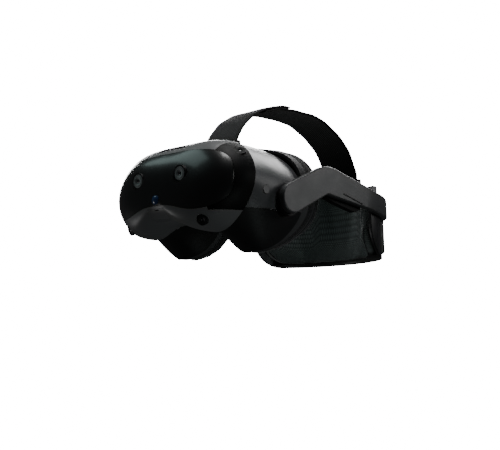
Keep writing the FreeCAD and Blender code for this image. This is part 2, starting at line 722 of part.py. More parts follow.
button_travel = size("button_travel")
button_cap = rod(button_r, Vector(side_x - wall - 1.6, button_y, button_z), Vector(1, 0, 0), wall + 1.9)
button_rim = rod(button_r + 1.2, Vector(side_x - wall - 2.6, button_y, button_z), Vector(1, 0, 0), 1.2)
node(feature("power_button", button_cap.fuse(button_rim).removeSplitter()))
rocker_back = -side_x + wall + 2.6
rocker_cap = bar(pill(6.8, 2.6, button_y, button_z + 4, 2.5), "YZ", -side_x - 0.6, rocker_back - 1)
rocker_rim = bar(pill(6.8, 3.8, button_y, button_z + 4, 2.5), "YZ", rocker_back - 1.2, rocker_back)
rocker_pin = rod(1.2, Vector(-side_x + wall + 2, button_y, button_z - 1.5), Vector(0, 0, 1), 11)
node(feature("volume_rocker", rocker_cap.fuse([rocker_rim, rocker_pin]).removeSplitter()))
jack_start = Vector(-side_x + 0.1, jack_y, jack_z)
jack_hollow = rod(1.8, jack_start, Vector(1, 0, 0), 12)
node(feature("audio_jack", rod(3.4, jack_start, Vector(1, 0, 0), 13).cut(jack_hollow)))
shell_box = bar(pill(4.9, 2.0, socket_y, jack_z, 1.9), "YZ", -side_x + 0.1, -side_x + 7.6)
socket_hole = bar(pill(4.5, 1.6, socket_y, jack_z, 1.5), "YZ", -side_x - 1, -side_x + 6.6)
tongue = bar(pill(3.3, 0.35, socket_y, jack_z, 0.1), "YZ", -side_x + 1.2, -side_x + 7)
node(feature("usb_socket", shell_box.cut(socket_hole).fuse(tongue)))

# ---------------------------------------------------------------- arm pivots

collar_r = size("collar_radius")
collar_end = arm_inner - size("arm_gap")
collar = rod(collar_r, Vector(side_x - 14, pivot_y, pivot_z), Vector(1, 0, 0), collar_end - side_x + 14)
pin_r = size("pivot_radius")
collar = collar.cut(housing_outer).cut(rod(pin_r, Vector(0, pivot_y, pivot_z), Vector(1, 0, 0), FAR))
collar = max(collar.Solids, key=lambda solid: solid.BoundBox.XMax)
node(feature("pivot_collar_left", collar))
node(feature("pivot_collar_right", collar.mirror(Vector(), Vector(1, 0, 0))))
PIVOT = "(%s + pivot_depth)" % FRONT
ARM_OUTER = "(visor_width / 2 + arm_clearance)"
pin_start = "(%g)" % (side_x - 10)
pin_length = ARM_OUTER + " - 2 - " + pin_start
shank = cylinder("pin_shank", "pivot_radius", pin_length, pin_start, PIVOT, "pivot_height", "X")
head = cylinder("pin_head", "pivot_radius + 3", "3", pin_start, PIVOT, "pivot_height", "X")
pin_left = node(fuse("pivot_pin_left", shank, head))
node(mirrored("pivot_pin_right", pin_left))

# ---------------------------------------------------------------- side arms

ARM_RISE = math.radians(24.8)
end_r = size("arm_end_radius")
end_lift = 2.2
along = (math.cos(ARM_RISE), math.sin(ARM_RISE))
up = (-along[1], along[0])


def from_pivot(ahead, above, radius):
    """A corner given along and across the rising front stretch of the arm."""
    return (pivot_y + ahead * along[0] + above * up[0], pivot_z + ahead * along[1] + above * up[1], radius)


bend_y = pivot_y + 50.7
arm_corners = [
    from_pivot(-end_r, end_r + end_lift, end_r * 0.98),
    from_pivot(-end_r, end_lift - end_r, end_r * 0.98),
    (bend_y, pivot_z + 9.2, 9),
    (band_y + 30, pivot_z - 5.2, 60),
    (band_y + 90, pivot_z - 6.0, 0),
    (band_y + 90, pivot_z + 11.0, 0),
    (band_y + 16, pivot_z + 18.2, 60),
    (bend_y, pivot_z + 40, 40),
]
arm_plate = bar(arm_corners, "YZ", 40, 120 * wide)
arm_stop = max(size("module_width"), size("battery_width") + 2) / 2 + 2
strip = upright(arm_outer, band_y).cut(upright(arm_inner, band_y)).common(
    block((arm_stop, FAR), (band_y, FAR), (-FAR, FAR)))
strip = strip.fuse(block((arm_inner, arm_outer), (pivot_y - 30, band_y), (-FAR, FAR))).removeSplitter()
arm = arm_plate.common(strip)
arm_edges = [edge for edge in arm.Edges
             if all(math.hypot(v.X, max(0, v.Y - band_y)) > arm_outer - 0.05 for v in edge.Vertexes)]
arm = arm.makeFillet(1.4, arm_edges)
arm = arm.cut(rod(pin_r + size("running_gap"), Vector(0, pivot_y, pivot_z), Vector(1, 0, 0), arm_outer - 1.5))
groove = block((arm_outer - 1.2, FAR), (-15.5, 15.5), (-0.9, 0.9))
groove.rotate(Vector(), Vector(1, 0, 0), -15.5)
groove.translate(Vector(0, band_y - 24, pivot_z + 7))
arm = arm.cut(groove)
node(feature("arm_left", arm))
node(feature("arm_right", arm.mirror(Vector(), Vector(1, 0, 0))))
speaker_corners = [(band_y - 62, pivot_z + 8, 3), (band_y - 46, pivot_z + 2.5, 3),
                   (band_y - 14, pivot_z - 5, 3), (band_y - 5, pivot_z - 2.5, 3),
                   (band_y - 5, pivot_z + 12, 3), (band_y - 50, pivot_z + 22, 6)]
speaker = bar(speaker_corners, "YZ", arm_inner - 7, arm_inner)
node(feature("speaker_left", speaker))
node(feature("speaker_right", speaker.mirror(Vector(), Vector(1, 0, 0))))

# ---------------------------------------------------------------- rear carrier and cushion

carrier_r = arm_inner - size("arm_gap")
carrier_in = carrier_r - size("carrier_wall")
pad_in = carrier_in - size("pad_thickness")
top_z = size("carrier_height")
lip = 3.0
wing_y = band_y + size("wing_start")


def ring(outer, inner, low, high):
    return upright(outer, band_y, low, high).cut(upright(inner, band_y, low - 1, high + 1))


wing_z = size("wing_height")


spine_half = size("spine_width") / 2


def carrier_view(margin):
    """Two low wings and a spine between them: the carrier's room, or a pad's this far inside."""
    low = lip * (margin > 0)
    wing_corners = [(wing_y + margin, low, 34), (band_y + FAR, low, 0), (band_y + FAR, wing_z - margin, 0),
                    (wing_y + margin, wing_z - margin, 14)]
    spine_corners = [(margin - spine_half, low, 0), (spine_half - margin, low, 0),
                     (spine_half - margin, top_z - margin, 16), (margin - spine_half, top_z - margin, 16)]
    return bar(wing_corners, "YZ", -FAR, FAR).fuse(bar(spine_corners, "XZ", band_y + 30, band_y + FAR))


shelf_half = size("strap_width") / 2 + 6
shelf = ring(carrier_in + 1, pad_in + 1, top_z - lip, top_z).common(
    block((-shelf_half, shelf_half), (band_y, FAR), (-FAR, FAR)))
floor_rim = ring(carrier_in + 1, pad_in + 1, 0, lip)
carrier = ring(carrier_r, carrier_in, 0, top_z).fuse([floor_rim, shelf])
carrier = carrier.common(carrier_view(0)).removeSplitter()
axle_z = (size("module_floor") + size("module_top")) / 2
spigot = rod(2 + size("running_gap"), Vector(0, band_y + carrier_r - 2.5, axle_z), into, 10)
node(feature("rear_carrier", carrier.cut(spigot)))
pad = ring(carrier_in - seam, pad_in, lip + seam, top_z - lip - seam).common(carrier_view(2)).removeSplitter()
node(feature("rear_cushion", pad))

# ---------------------------------------------------------------- rear module, dial and straps

module_half = size("module_width") / 2
module_low = size("module_floor")
module_high = size("module_top")
module_y = band_y + arm_outer - size("module_sink")
module_wall = 2.0
behind_carrier = upright(carrier_r + seam, band_y)
module_corners = [(-module_half, band_y, 0), (module_half, band_y, 0),
                  (module_half, module_y, 10), (-module_half, module_y, 10)]
room_corners = [(-module_half + module_wall, band_y - 1, 0), (module_half - module_wall, band_y - 1, 0),
                (module_half - module_wall, module_y - module_wall, 8),
                (-module_half + module_wall, module_y - module_wall, 8)]
module_side = [(band_y - 5, module_low, 0), (module_y, module_low, 3), (module_y, module_high, 7),
               (band_y - 5, module_high, 0)]
module = bar(module_corners, "XY", module_low, module_high).common(bar(module_side, "YZ", -FAR, FAR))
module_room = bar(room_corners, "XY", module_low + module_wall, module_high - module_wall)
shaft_r = size("dial_shaft_radius")
shaft_bore = rod(shaft_r + size("running_gap"), Vector(0, band_y, axle_z), into, FAR)
module = module.cut([behind_carrier, module_room, shaft_bore])
node(feature("rear_module", module.common(block((-FAR, FAR), (band_y + 40, FAR), (-FAR, FAR)))))

tooth = size("tooth_module")
teeth = int(size("pinion_teeth"))
pitch_r = tooth * teeth / 2
backlash = size("tooth_backlash")
PRESSURE = math.radians(25)
tooth_width = math.pi * tooth / 2 - backlash / 2
drive_low = band_y + carrier_r + 0.7
drive_high = module_y - module_wall - 0.4
drive_width = drive_high - drive_low


def involute(radius, base_r):
    if radius <= base_r:
        return 0.0
    roll = math.sqrt((radius / base_r) ** 2 - 1)
    return roll - math.atan(roll)


def pinion_face():
    """The toothed outline about the origin in the XZ plane, with one tooth straight up."""
    base_r = pitch_r * math.cos(PRESSURE)
    root_r = pitch_r - 1.3 * tooth
    tip_r = pitch_r + 0.85 * tooth
    half_pitch = tooth_width / 2 / pitch_r + involute(pitch_r, base_r)
    flank = [root_r] + [base_r + (tip_r - base_r) * step / 4 for step in range(5)]
    points = []
    for index in range(teeth):
        middle = math.pi / 2 + 2 * math.pi * index / teeth
        for sign, radii in ((-1, flank), (1, list(reversed(flank)))):
            for radius in radii:
                angle = middle + sign * (half_pitch - involute(radius, base_r))
                points.append(Vector(radius * math.cos(angle), 0, radius * math.sin(angle)))
    return Part.Face(Part.makePolygon(points + points[:1]))


wheel = pinion_face()
wheel.translate(Vector(0, drive_low, axle_z))
wheel = wheel.extrude(into * drive_width)
shaft = rod(shaft_r, Vector(0, drive_high - 0.1, axle_z), into, module_y + 0.4 - drive_high)
tail = rod(2, Vector(0, band_y + carrier_r - 2, axle_z), into, 3.5)
node(feature("dial_pinion", wheel.fuse([shaft, tail])))
dial_r = size("dial_radius")
dial_y = module_y + 0.3
dial = rod(dial_r, Vector(0, dial_y, axle_z), into, size("dial_thickness") - 0.3)
GRIPS = 24
scallops = []
for index in range(GRIPS):
    angle = 2 * math.pi * index / GRIPS
    spot = Vector((dial_r + 1.6) * math.cos(angle), dial_y - 1, axle_z + (dial_r + 1.6) * math.sin(angle))
    scallops.append(rod(2.4, spot, into, 10))
node(feature("fit_dial", dial.cut(scallops)))


def toothed_strap():
    """The upper strap, which runs out to the left: its teeth hang down into the pinion."""
    pitch = math.pi * tooth
    line_z = axle_z + pitch_r
    slope = math.tan(PRESSURE)
    tip = 0.85 * tooth
    root = 1.25 * tooth
    back_z = line_z + root + 2.2
    start = -2 * pitch
    count = int(size("fit_travel") / pitch) + 4
    end = module_half - module_wall - 8.5
    points = [Vector(start, 0, back_z), Vector(start, 0, line_z + root)]
    for index in range(count):
        middle = start + pitch * (index + 0.5)
        half_tip = tooth_width / 2 - tip * slope
        half_root = tooth_width / 2 + root * slope
        points += [Vector(middle - half_root, 0, line_z + root), Vector(middle - half_tip, 0, line_z - tip),
                   Vector(middle + half_tip, 0, line_z - tip), Vector(middle + half_root, 0, line_z + root)]
    points += [Vector(end, 0, line_z + root), Vector(end, 0, back_z)]
    face = Part.Face(Part.makePolygon(points + points[:1]))
    face.translate(into * drive_low)
    return face.extrude(into * drive_width)


upper_strap = toothed_strap()
node(feature("adjust_strap_left", upper_strap))
lower_strap = upper_strap.copy()
lower_strap.rotate(Vector(0, 0, axle_z), into, 180)
node(feature("adjust_strap_right", lower_strap))

# ---------------------------------------------------------------- battery

battery_half = size("battery_width") / 2
battery_low = size("battery_floor")
battery_high = module_low - seam
battery_y = band_y + arm_outer + size("battery_proud")
battery_plan = [(-battery_half, band_y, 0), (battery_half, band_y, 0),
                (battery_half, battery_y, 10), (-battery_half, battery_y, 10)]
battery_side = [(band_y - 5, battery_low, 0), (battery_y, battery_low, 17), (battery_y, battery_high, 4),
                (band_y - 5, battery_high, 0)]
battery = bar(battery_plan, "XY", battery_low, battery_high).common(bar(battery_side, "YZ", -FAR, FAR))
battery = battery.cut(behind_carrier).common(block((-FAR, FAR), (band_y + 40, FAR), (-FAR, FAR)))
latch_spot = Vector(battery_half, battery_y - 14, (battery_low + battery_high) / 2 + 4)
latch_r = 3.6
latch_pocket = rod(latch_r + 0.1, latch_spot - Vector(5.4, 0, 0), Vector(1, 0, 0), 12)
node(feature("battery_pack", battery.cut(latch_pocket)))
node(feature("battery_latch", rod(latch_r, latch_spot - Vector(4.2, 0, 0), Vector(1, 0, 0), 5.0)))

# ---------------------------------------------------------------- top strap and its anchors

strap_half = size("strap_width") / 2
strap_t = size("strap_thickness")
anchor_y = front_y + 90


def ribbon(points, thickness):
    """A flat strap that follows a curve in the YZ plane, with its thickness below the curve."""
    over = Part.BSplineCurve()
    over.interpolate([Vector(0, y, z) for y, z in points])
    steps = 24
    under_points = []
    for step in range(steps + 1):
        position = over.FirstParameter + (over.LastParameter - over.FirstParameter) * step / steps
        direction = over.tangent(position)[0]
        under_points.append(over.value(position) + Vector(0, direction.z, -direction.y) * thickness)
    under = Part.BSplineCurve()
    under.interpolate(under_points)
    edges = [over.toShape(), Part.makeLine(over.EndPoint, under.EndPoint), under.toShape(),
             Part.makeLine(under.StartPoint, over.StartPoint)]
    face = Part.Face(Part.Wire(Part.__sortEdges__(edges)))
    face.translate(Vector(-strap_half, 0, 0))
    return face.extrude(Vector(2 * strap_half, 0, 0))


front_top = first_hit(housing_outer, Vector(0, anchor_y, FAR / 2), Vector(0, 0, -1)).z
FRONT_STRAP = [(anchor_y + 0.6, front_top + 1.5), (anchor_y + 7, front_top + 13),
               (anchor_y + 22, front_top + 29), (anchor_y + 44, front_top + 41.5),
               (anchor_y + 70, front_top + 48.5), (anchor_y + 86, front_top + 49.5)]
overlap_low = strap_t + 2 * seam
tail_y = band_y + carrier_in - 9.3
REAR_STRAP = [(anchor_y + 46, front_top + 42.3 - overlap_low),
              (anchor_y + 70, front_top + 48.5 - overlap_low),
              (anchor_y + 86, front_top + 49.5 - overlap_low),
              (tail_y - 88, front_top + 49 - overlap_low),
              (tail_y - 61, front_top + 43), (tail_y - 33, front_top + 29.5), (tail_y - 14, front_top + 13),
              (tail_y - 4, front_top - 5), (tail_y - 0.5, top_z + 13), (tail_y, top_z + 2.5)]
node(feature("top_strap_front", ribbon(FRONT_STRAP, strap_t)))
node(feature("top_strap_rear", ribbon(REAR_STRAP, strap_t)))
anchor_plan = pill(strap_half + 2.5, 5.5, 0, anchor_y + 1.8, 3)
anchor = bar(anchor_plan, "XY", front_top - 12, front_top + 2.8).cut(housing_outer)
anchor = max(anchor.Solids, key=lambda solid: solid.BoundBox.ZMax)
anchor_slot = bar(pill(strap_half + 0.5, 3.2, 0, anchor_y + 2.4, 0), "XY", front_top + 0.4, front_top + 40)
node(feature("strap_anchor_front", anchor.cut(anchor_slot)))
rear_slot_y = tail_y - strap_t / 2
rear_anchor = bar(pill(strap_half + 3.5, 4.5, 0, rear_slot_y, 3), "XY", top_z, top_z + 6.5)
rear_slot = bar(pill(strap_half + 0.5, 1.9, 0, rear_slot_y, 0), "XY", top_z + 2, top_z + 40)
node(feature("strap_anchor_rear", rear_anchor.cut(rear_slot)))

# ---------------------------------------------------------------- check and write

doc.recompute()
for piece in doc.Objects:
    for fault in ("Invalid", "Error"):
        if fault in piece.State:
            raise RuntimeError("%s is %s" % (piece.Label, fault))
os.makedirs("parts", exist_ok=True)
for piece in NODES:
    shape = piece.Shape
    if shape.isNull() or not shape.isValid():
        raise RuntimeError("%s has no valid shape" % piece.Label)
    print(piece.Label, len(shape.Solids), round(shape.Volume))
    shape.exportStep("parts/%s.step" % piece.Label)
print(len(NODES), "nodes")
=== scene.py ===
import math

import bpy
from mathutils import Matrix, Vector
from mathutils.bvhtree import BVHTree


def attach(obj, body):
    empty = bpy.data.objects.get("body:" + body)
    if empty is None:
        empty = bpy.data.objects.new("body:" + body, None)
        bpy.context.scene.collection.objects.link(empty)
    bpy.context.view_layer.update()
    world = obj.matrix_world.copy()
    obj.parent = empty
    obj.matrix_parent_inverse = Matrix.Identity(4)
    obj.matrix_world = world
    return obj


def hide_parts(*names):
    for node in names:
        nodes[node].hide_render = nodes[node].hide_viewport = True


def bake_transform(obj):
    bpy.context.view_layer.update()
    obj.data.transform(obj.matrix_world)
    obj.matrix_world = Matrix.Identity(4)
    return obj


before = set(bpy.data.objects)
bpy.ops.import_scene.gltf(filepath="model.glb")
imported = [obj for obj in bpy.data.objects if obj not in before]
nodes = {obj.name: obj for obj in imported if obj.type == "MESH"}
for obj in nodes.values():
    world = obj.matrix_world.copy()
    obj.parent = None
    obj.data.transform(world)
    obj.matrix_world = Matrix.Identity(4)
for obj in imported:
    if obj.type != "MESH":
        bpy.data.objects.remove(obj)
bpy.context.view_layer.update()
scene = bpy.context.scene

# ---------------------------------------------------------------- camera
# It looks at the front left of the visor from a little below.

CAMERA_SPOT = Vector((0.85497, -0.90808, -0.10609))
CAMERA_RIGHT = Vector((0.71325, 0.70024, -0.03057))
CAMERA_UP = Vector((0.10965, -0.06839, 0.99162))
camera_lens = bpy.data.cameras.new("camera")
camera_lens.lens = 85.1
camera_lens.sensor_width = 36
camera_lens.shift_x = 0.0108
camera_lens.shift_y = -0.026
camera = bpy.data.objects.new("camera", camera_lens)
scene.collection.objects.link(camera)
turn = Matrix((CAMERA_RIGHT, CAMERA_UP, CAMERA_RIGHT.cross(CAMERA_UP))).transposed().to_4x4()
camera.matrix_world = Matrix.Translation(CAMERA_SPOT) @ turn
scene.camera = camera

# ---------------------------------------------------------------- light and background

HEADSET_MIDDLE = Vector((0, 0, 0.07))
WHITE = (1, 1, 1)
PALE_GREEN = (0.9, 1.0, 0.98)
COVER_TINT = (0.76, 1.0, 0.98)
AIR_COLOUR = (0.9, 0.92, 0.95, 1)
AIR_STRENGTH = 0.032
BACKGROUND_STRENGTH = 20    # how bright the camera sees the plain white background


def lamp(name, spot, size, power, colour=WHITE, aim=HEADSET_MIDDLE):
    """A soft rectangular light that faces a point."""
    light = bpy.data.lights.new(name, "AREA")
    light.shape = "RECTANGLE"
    light.size = size[0]
    light.size_y = size[1]
    light.energy = power
    light.color = colour
    holder = bpy.data.objects.new(name, light)
    scene.collection.objects.link(holder)
    holder.location = spot
    holder.rotation_mode = "QUATERNION"
    holder.rotation_quaternion = (Vector(aim) - Vector(spot)).to_track_quat("-Z", "Y")


lamp("top_light", (0.1, 0.1, 1.4), (0.9, 0.5), 11)
lamp("cover_light", (-1.0, -0.7, 1.6), (1.6, 0.8), 4.5, COVER_TINT)
lamp("rear_light", (-0.35, 1.3, 1.0), (1.0, 0.5), 14)
lamp("rim_light", (-1.3, 1.0, 0.6), (1.1, 0.5), 34)
lamp("arm_light", (1.3, 1.15, 0.5), (0.5, 0.5), 3.5, WHITE, (0.09, 0.03, 0.06))
lamp("arm_front_light", (1.7, -0.1, 0.75), (0.3, 0.3), 0.7, WHITE, (0.09, 0.0, 0.05))
lamp("lip_light", (-1.25, -0.8, -0.35), (0.5, 0.5), 2.2, WHITE, (-0.03, -0.14, 0.03))
lamp("pad_light", (0.7, -0.06, -0.42), (0.4, 0.3), 0.75, PALE_GREEN, (0.0, 0.14, 0.03))

world = bpy.data.worlds.new("studio")
scene.world = world
world.use_nodes = True
air = world.node_tree
soft_air = air.nodes["Background"]
soft_air.inputs["Color"].default_value = AIR_COLOUR
soft_air.inputs["Strength"].default_value = AIR_STRENGTH
light_path = air.nodes.new("ShaderNodeLightPath")
seen = air.nodes.new("ShaderNodeBackground")
seen.inputs["Color"].default_value = WHITE + (1,)
seen.inputs["Strength"].default_value = BACKGROUND_STRENGTH
choice = air.nodes.new("ShaderNodeMixShader")
air.links.new(light_path.outputs["Is Camera Ray"], choice.inputs[0])
air.links.new(soft_air.outputs[0], choice.inputs[1])
air.links.new(seen.outputs[0], choice.inputs[2])
air.links.new(choice.outputs[0], air.nodes["World Output"].inputs["Surface"])

# ---------------------------------------------------------------- materials

CLOUD_SCALE = 26            # clouds in a plastic's colour, in features per metre
SMEAR_SCALE = 70            # patches in a plastic's gloss
BRUSH_SCALE = 40
BRUSH_RELIEF = 0.00002
FADE_SCALE = 34             # worn patches in cloth
FIBRE_SCALE = 2600
# The webbing's edges carry a painted highlight: a strip this wide along each edge is drawn lighter.
EDGE_HIGHLIGHT_WIDTH = 0.0022           # width of a webbing's lighter edge
HAZE_SCALE = 60
LENS_RELIEF = 0.00006


def shape_node(tree, kind, sockets=None, **settings):
    """A new node with its settings made and its sockets set or linked."""
    made = tree.nodes.new("ShaderNode" + kind)
    for key, value in settings.items():
        setattr(made, key, value)
    for key, value in (sockets or {}).items():
        if isinstance(value, bpy.types.NodeSocket):
            tree.links.new(value, made.inputs[key])
        else:
            made.inputs[key].default_value = value
    return made


def sum_of(tree, kind, first, second=0.0):
    """One step of arithmetic on a number."""
    return shape_node(tree, "Math", {0: first, 1: second}, operation=kind).outputs[0]


def shaded(colour, share):
    """A colour made darker or lighter by a share, with full cover."""
    return tuple(min(1.0, part * share) for part in colour) + (1,)


def mixed(tree, share, first, second):
    """A colour between two, by a share from 0 to 1."""
    mix = shape_node(tree, "Mix", data_type="RGBA")
    share_socket, first_socket, second_socket = mix.inputs[0], mix.inputs[6], mix.inputs[7]
    tree.links.new(share, share_socket)
    first_socket.default_value = first
    second_socket.default_value = second
    return mix.outputs[2]


def noise(tree, place, scale, detail):
    """Smooth uneven values over a place, from 0 to 1."""
    sockets = {"Vector": place, "Scale": scale, "Detail": detail}
    return shape_node(tree, "TexNoise", sockets).outputs["Fac"]


def ranged(tree, value, low, high):
    """A value from 0 to 1, stretched between two others."""
    sockets = {"Value": value, "To Min": low, "To Max": high}
    return shape_node(tree, "MapRange", sockets).outputs["Result"]


def start_material(name, **sockets):
    """A new material, its node tree and its shader with these sockets set."""
    material = bpy.data.materials.new(name)
    material.use_nodes = True
    tree = material.node_tree
    shader = tree.nodes["Principled BSDF"]
    for key, value in sockets.items():
        shader.inputs[key.replace("_", " ")].default_value = value
    return material, tree, shader


def bump_on(tree, shader, height, distance):
    """Raises the surface by a height, up to a distance in metres."""
    bump = shape_node(tree, "Bump", {"Height": height, "Distance": distance, "Strength": 1.0})
    tree.links.new(bump.outputs["Normal"], shader.inputs["Normal"])


def moulded(name, colour, roughness, grain=0.0007, relief=0.00003, spread=0.1, patchy=0.06,
            **sockets):
    """Moulded plastic: faint clouds in its colour, uneven gloss and a fine spark-eroded grain."""
    material, tree, shader = start_material(name, **sockets)
    place = shape_node(tree, "TexCoord").outputs["Object"]
    clouds = noise(tree, place, CLOUD_SCALE, 5)
    tint = mixed(tree, clouds, shaded(colour, 1 - spread), shaded(colour, 1 + spread))
    tree.links.new(tint, shader.inputs["Base Color"])
    smears = noise(tree, place, SMEAR_SCALE, 6)
    gloss = ranged(tree, smears, roughness - patchy, roughness + patchy)
    tree.links.new(gloss, shader.inputs["Roughness"])
    pits = noise(tree, place, 1 / grain, 3)
    bump_on(tree, shader, pits, relief)
    return material


def brushed(name, colour, roughness, along=(1, 60, 60)):
    """Bare metal with fine lines along one axis."""
    material, tree, shader = start_material(name, Metallic=1.0)
    place = shape_node(tree, "TexCoord").outputs["Object"]
    drawn = shape_node(tree, "Mapping", {"Vector": place, "Scale": along}).outputs["Vector"]
    lines = noise(tree, drawn, BRUSH_SCALE, 8)
    tint = mixed(tree, lines, shaded(colour, 0.8), shaded(colour, 1.1))
    tree.links.new(tint, shader.inputs["Base Color"])
    gloss = ranged(tree, lines, roughness - 0.08, roughness + 0.1)
    tree.links.new(gloss, shader.inputs["Roughness"])
    bump_on(tree, shader, lines, BRUSH_RELIEF)
    return material


def woven(name, warp, weft, pitch, relief, edge=None, half_width=1.0, **sockets):
    """Woven cloth in the cloth's own lengths: two sets of threads over and under each other, with
    painted shade where they dip and, when edge is given, a painted highlight along the edges.
    """
    material, tree, shader = start_material(name, **sockets)
    cloth = shape_node(tree, "UVMap", uv_map="cloth").outputs["UV"]
    split = shape_node(tree, "SeparateXYZ", {"Vector": cloth})
    rows = sum_of(tree, "SINE", sum_of(tree, "MULTIPLY", split.outputs["X"], math.pi / pitch[0]))
    columns = sum_of(tree, "SINE", sum_of(tree, "MULTIPLY", split.outputs["Y"], math.pi / pitch[1]))
    crossing = sum_of(tree, "MULTIPLY", rows, columns)
    lift = sum_of(tree, "ABSOLUTE", crossing)
    side = sum_of(tree, "GREATER_THAN", crossing, 0.0)
    threads = mixed(tree, side, shaded(warp, 1), shaded(weft, 1))
    place = shape_node(tree, "TexCoord").outputs["Object"]
    fading = noise(tree, place, FADE_SCALE, 6)
    worn = ranged(tree, fading, 0.75, 1.25)
    # Painted shade: the threads' colour is darkened where they dip under each other.
    painted_thread_shade = ranged(tree, lift, 0.45, 1.15)
    wear_and_painted_light = sum_of(tree, "MULTIPLY", worn, painted_thread_shade)
    # Painted highlight: a strip along each edge of the webbing is made lighter by the share edge.
    if edge:
        across = sum_of(tree, "ABSOLUTE", split.outputs["Y"])
        edge_highlight_strip = sum_of(tree, "GREATER_THAN", across, half_width - EDGE_HIGHLIGHT_WIDTH)
        lighter = sum_of(tree, "ADD", sum_of(tree, "MULTIPLY", edge_highlight_strip, edge - 1), 1.0)
        wear_and_painted_light = sum_of(tree, "MULTIPLY", wear_and_painted_light, lighter)
    # The threads' own colour, times random wear and the painted shade and painted highlight.
    tint = shape_node(tree, "VectorMath", {0: threads, "Scale": wear_and_painted_light}, operation="SCALE")
    tree.links.new(tint.outputs["Vector"], shader.inputs["Base Color"])
    fibres = noise(tree, place, FIBRE_SCALE, 2)
    height = sum_of(tree, "ADD", lift, sum_of(tree, "MULTIPLY", fibres, 0.3))
    bump_on(tree, shader, height, relief)
    return material


def ringed(name, colour, middle_x, middle_z, pitch, **sockets):
    """Clear lens with faint moulded rings about its own axis."""
    material, tree, shader = start_material(name, **sockets)
    place = shape_node(tree, "TexCoord").outputs["Object"]
    to_axis = {"Vector": place, "Location": (-middle_x, 0, -middle_z), "Scale": (1, 0, 1)}
    shifted = shape_node(tree, "Mapping", to_axis).outputs["Vector"]
    reach = shape_node(tree, "VectorMath", {0: shifted}, operation="LENGTH").outputs["Value"]
    steps = sum_of(tree, "FRACT", sum_of(tree, "DIVIDE", reach, pitch))
    haze = noise(tree, place, HAZE_SCALE, 4)
    tint = mixed(tree, haze, shaded(colour, 0.9), shaded(colour, 1.0))
    tree.links.new(tint, shader.inputs["Base Color"])
    bump_on(tree, shader, steps, LENS_RELIEF)
    return material


cover_gloss = moulded("cover_gloss", (0.002, 0.0024, 0.0025), 0.3, relief=0.000002, patchy=0.03,
                      Coat_Weight=0.6, Coat_Roughness=0.16, Coat_IOR=1.5)
side_dark = moulded("side_dark", (0.0012, 0.0012, 0.0013), 0.5, relief=0.00002,
                    Specular_IOR_Level=0.12)
frame_satin = moulded("frame_satin", (0.2, 0.202, 0.205), 0.36, relief=0.000015)
frame_lower = moulded("frame_lower", (0.13, 0.131, 0.134), 0.42, relief=0.000015)
black_matt = moulded("black_matt", (0.005, 0.005, 0.0055), 0.6)
camera_black = moulded("camera_black", (0.005, 0.0052, 0.0056), 0.55, relief=0.000004,
                       Specular_IOR_Level=0.25)
sensor_blue = moulded("sensor_blue", (0.012, 0.05, 0.16), 0.25, relief=0.000002, spread=0.3,
                      Coat_Weight=0.5)
housing_grey = moulded("housing_grey", (0.075, 0.077, 0.08), 0.36, relief=0.00002)
# Near black for the housing's underside: partly the real black lower shell, partly painted shade
# where the lamps above leave the underside dark.
under_black = moulded("under_black", (0.007, 0.007, 0.0073), 0.5, Specular_IOR_Level=0.3)
gasket_matt = moulded("gasket_matt", (0.034, 0.0345, 0.036), 0.62, relief=0.00005)
nose_rubber = moulded("nose_rubber", (0.1, 0.102, 0.106), 0.55, grain=0.0012, Sheen_Weight=0.2)
inner_plastic = moulded("inner_plastic", (0.014, 0.014, 0.015), 0.55)
gear_plastic = moulded("gear_plastic", (0.42, 0.42, 0.39), 0.4)
collar_black = moulded("collar_black", (0.003, 0.003, 0.0032), 0.5, Specular_IOR_Level=0.3)
arm_satin = moulded("arm_satin", (0.05, 0.051, 0.053), 0.38, relief=0.000018)
speaker_black = moulded("speaker_black", (0.0014, 0.0014, 0.0015), 0.55, Specular_IOR_Level=0.15)
carrier_matt = moulded("carrier_matt", (0.008, 0.008, 0.0085), 0.45)
module_grey = moulded("module_grey", (0.19, 0.192, 0.197), 0.4)
dial_dark = moulded("dial_dark", (0.03, 0.031, 0.032), 0.42)
battery_black = moulded("battery_black", (0.009, 0.009, 0.0095), 0.42)
latch_grey = moulded("latch_grey", (0.08, 0.08, 0.083), 0.45)
key_grey = moulded("key_grey", (0.05, 0.051, 0.053), 0.4, relief=0.000015)
display_black = moulded("display_black", (0.003, 0.0035, 0.005), 0.15, relief=0.000002,
                        Coat_Weight=1.0)
board_green = moulded("board_green", (0.012, 0.09, 0.035), 0.4, grain=0.002, spread=0.35)
steel = brushed("steel", (0.5, 0.5, 0.5), 0.3)
fin_metal = brushed("fin_metal", (0.72, 0.72, 0.73), 0.35, (60, 60, 1))
dark_steel = brushed("dark_steel", (0.22, 0.22, 0.23), 0.35)
EYE_X = 0.032               # the left lens's axis; the right one mirrors it
EYE_Z = 0.062
LENS_RINGS = 0.0011
LENS_TINT = (0.9, 0.93, 0.95)
glass_left = ringed("glass_left", LENS_TINT, EYE_X, EYE_Z, LENS_RINGS,
                    Roughness=0.04, Transmission_Weight=0.85, IOR=1.49)
glass_right = ringed("glass_right", LENS_TINT, -EYE_X, EYE_Z, LENS_RINGS,
                     Roughness=0.04, Transmission_Weight=0.85, IOR=1.49)
ring_grey = moulded("ring_grey", (0.24, 0.27, 0.27), 0.6, relief=0.000006)
window_glass = moulded("window_glass", (0.012, 0.016, 0.02), 0.06, relief=0.000001, Coat_Weight=1.0)
pad_cloth = woven("pad_cloth", (0.14, 0.17, 0.162), (0.085, 0.105, 0.1), (0.0016, 0.0011), 0.0003,
                  Roughness=0.85, Sheen_Weight=0.35, Sheen_Roughness=0.5, Specular_IOR_Level=0.25)
face_cloth = woven("face_cloth", (0.02, 0.021, 0.022), (0.014, 0.015, 0.016), (0.0013, 0.0013),
                   0.0003, Roughness=0.9, Sheen_Weight=0.3, Sheen_Roughness=0.5,
                   Specular_IOR_Level=0.25)
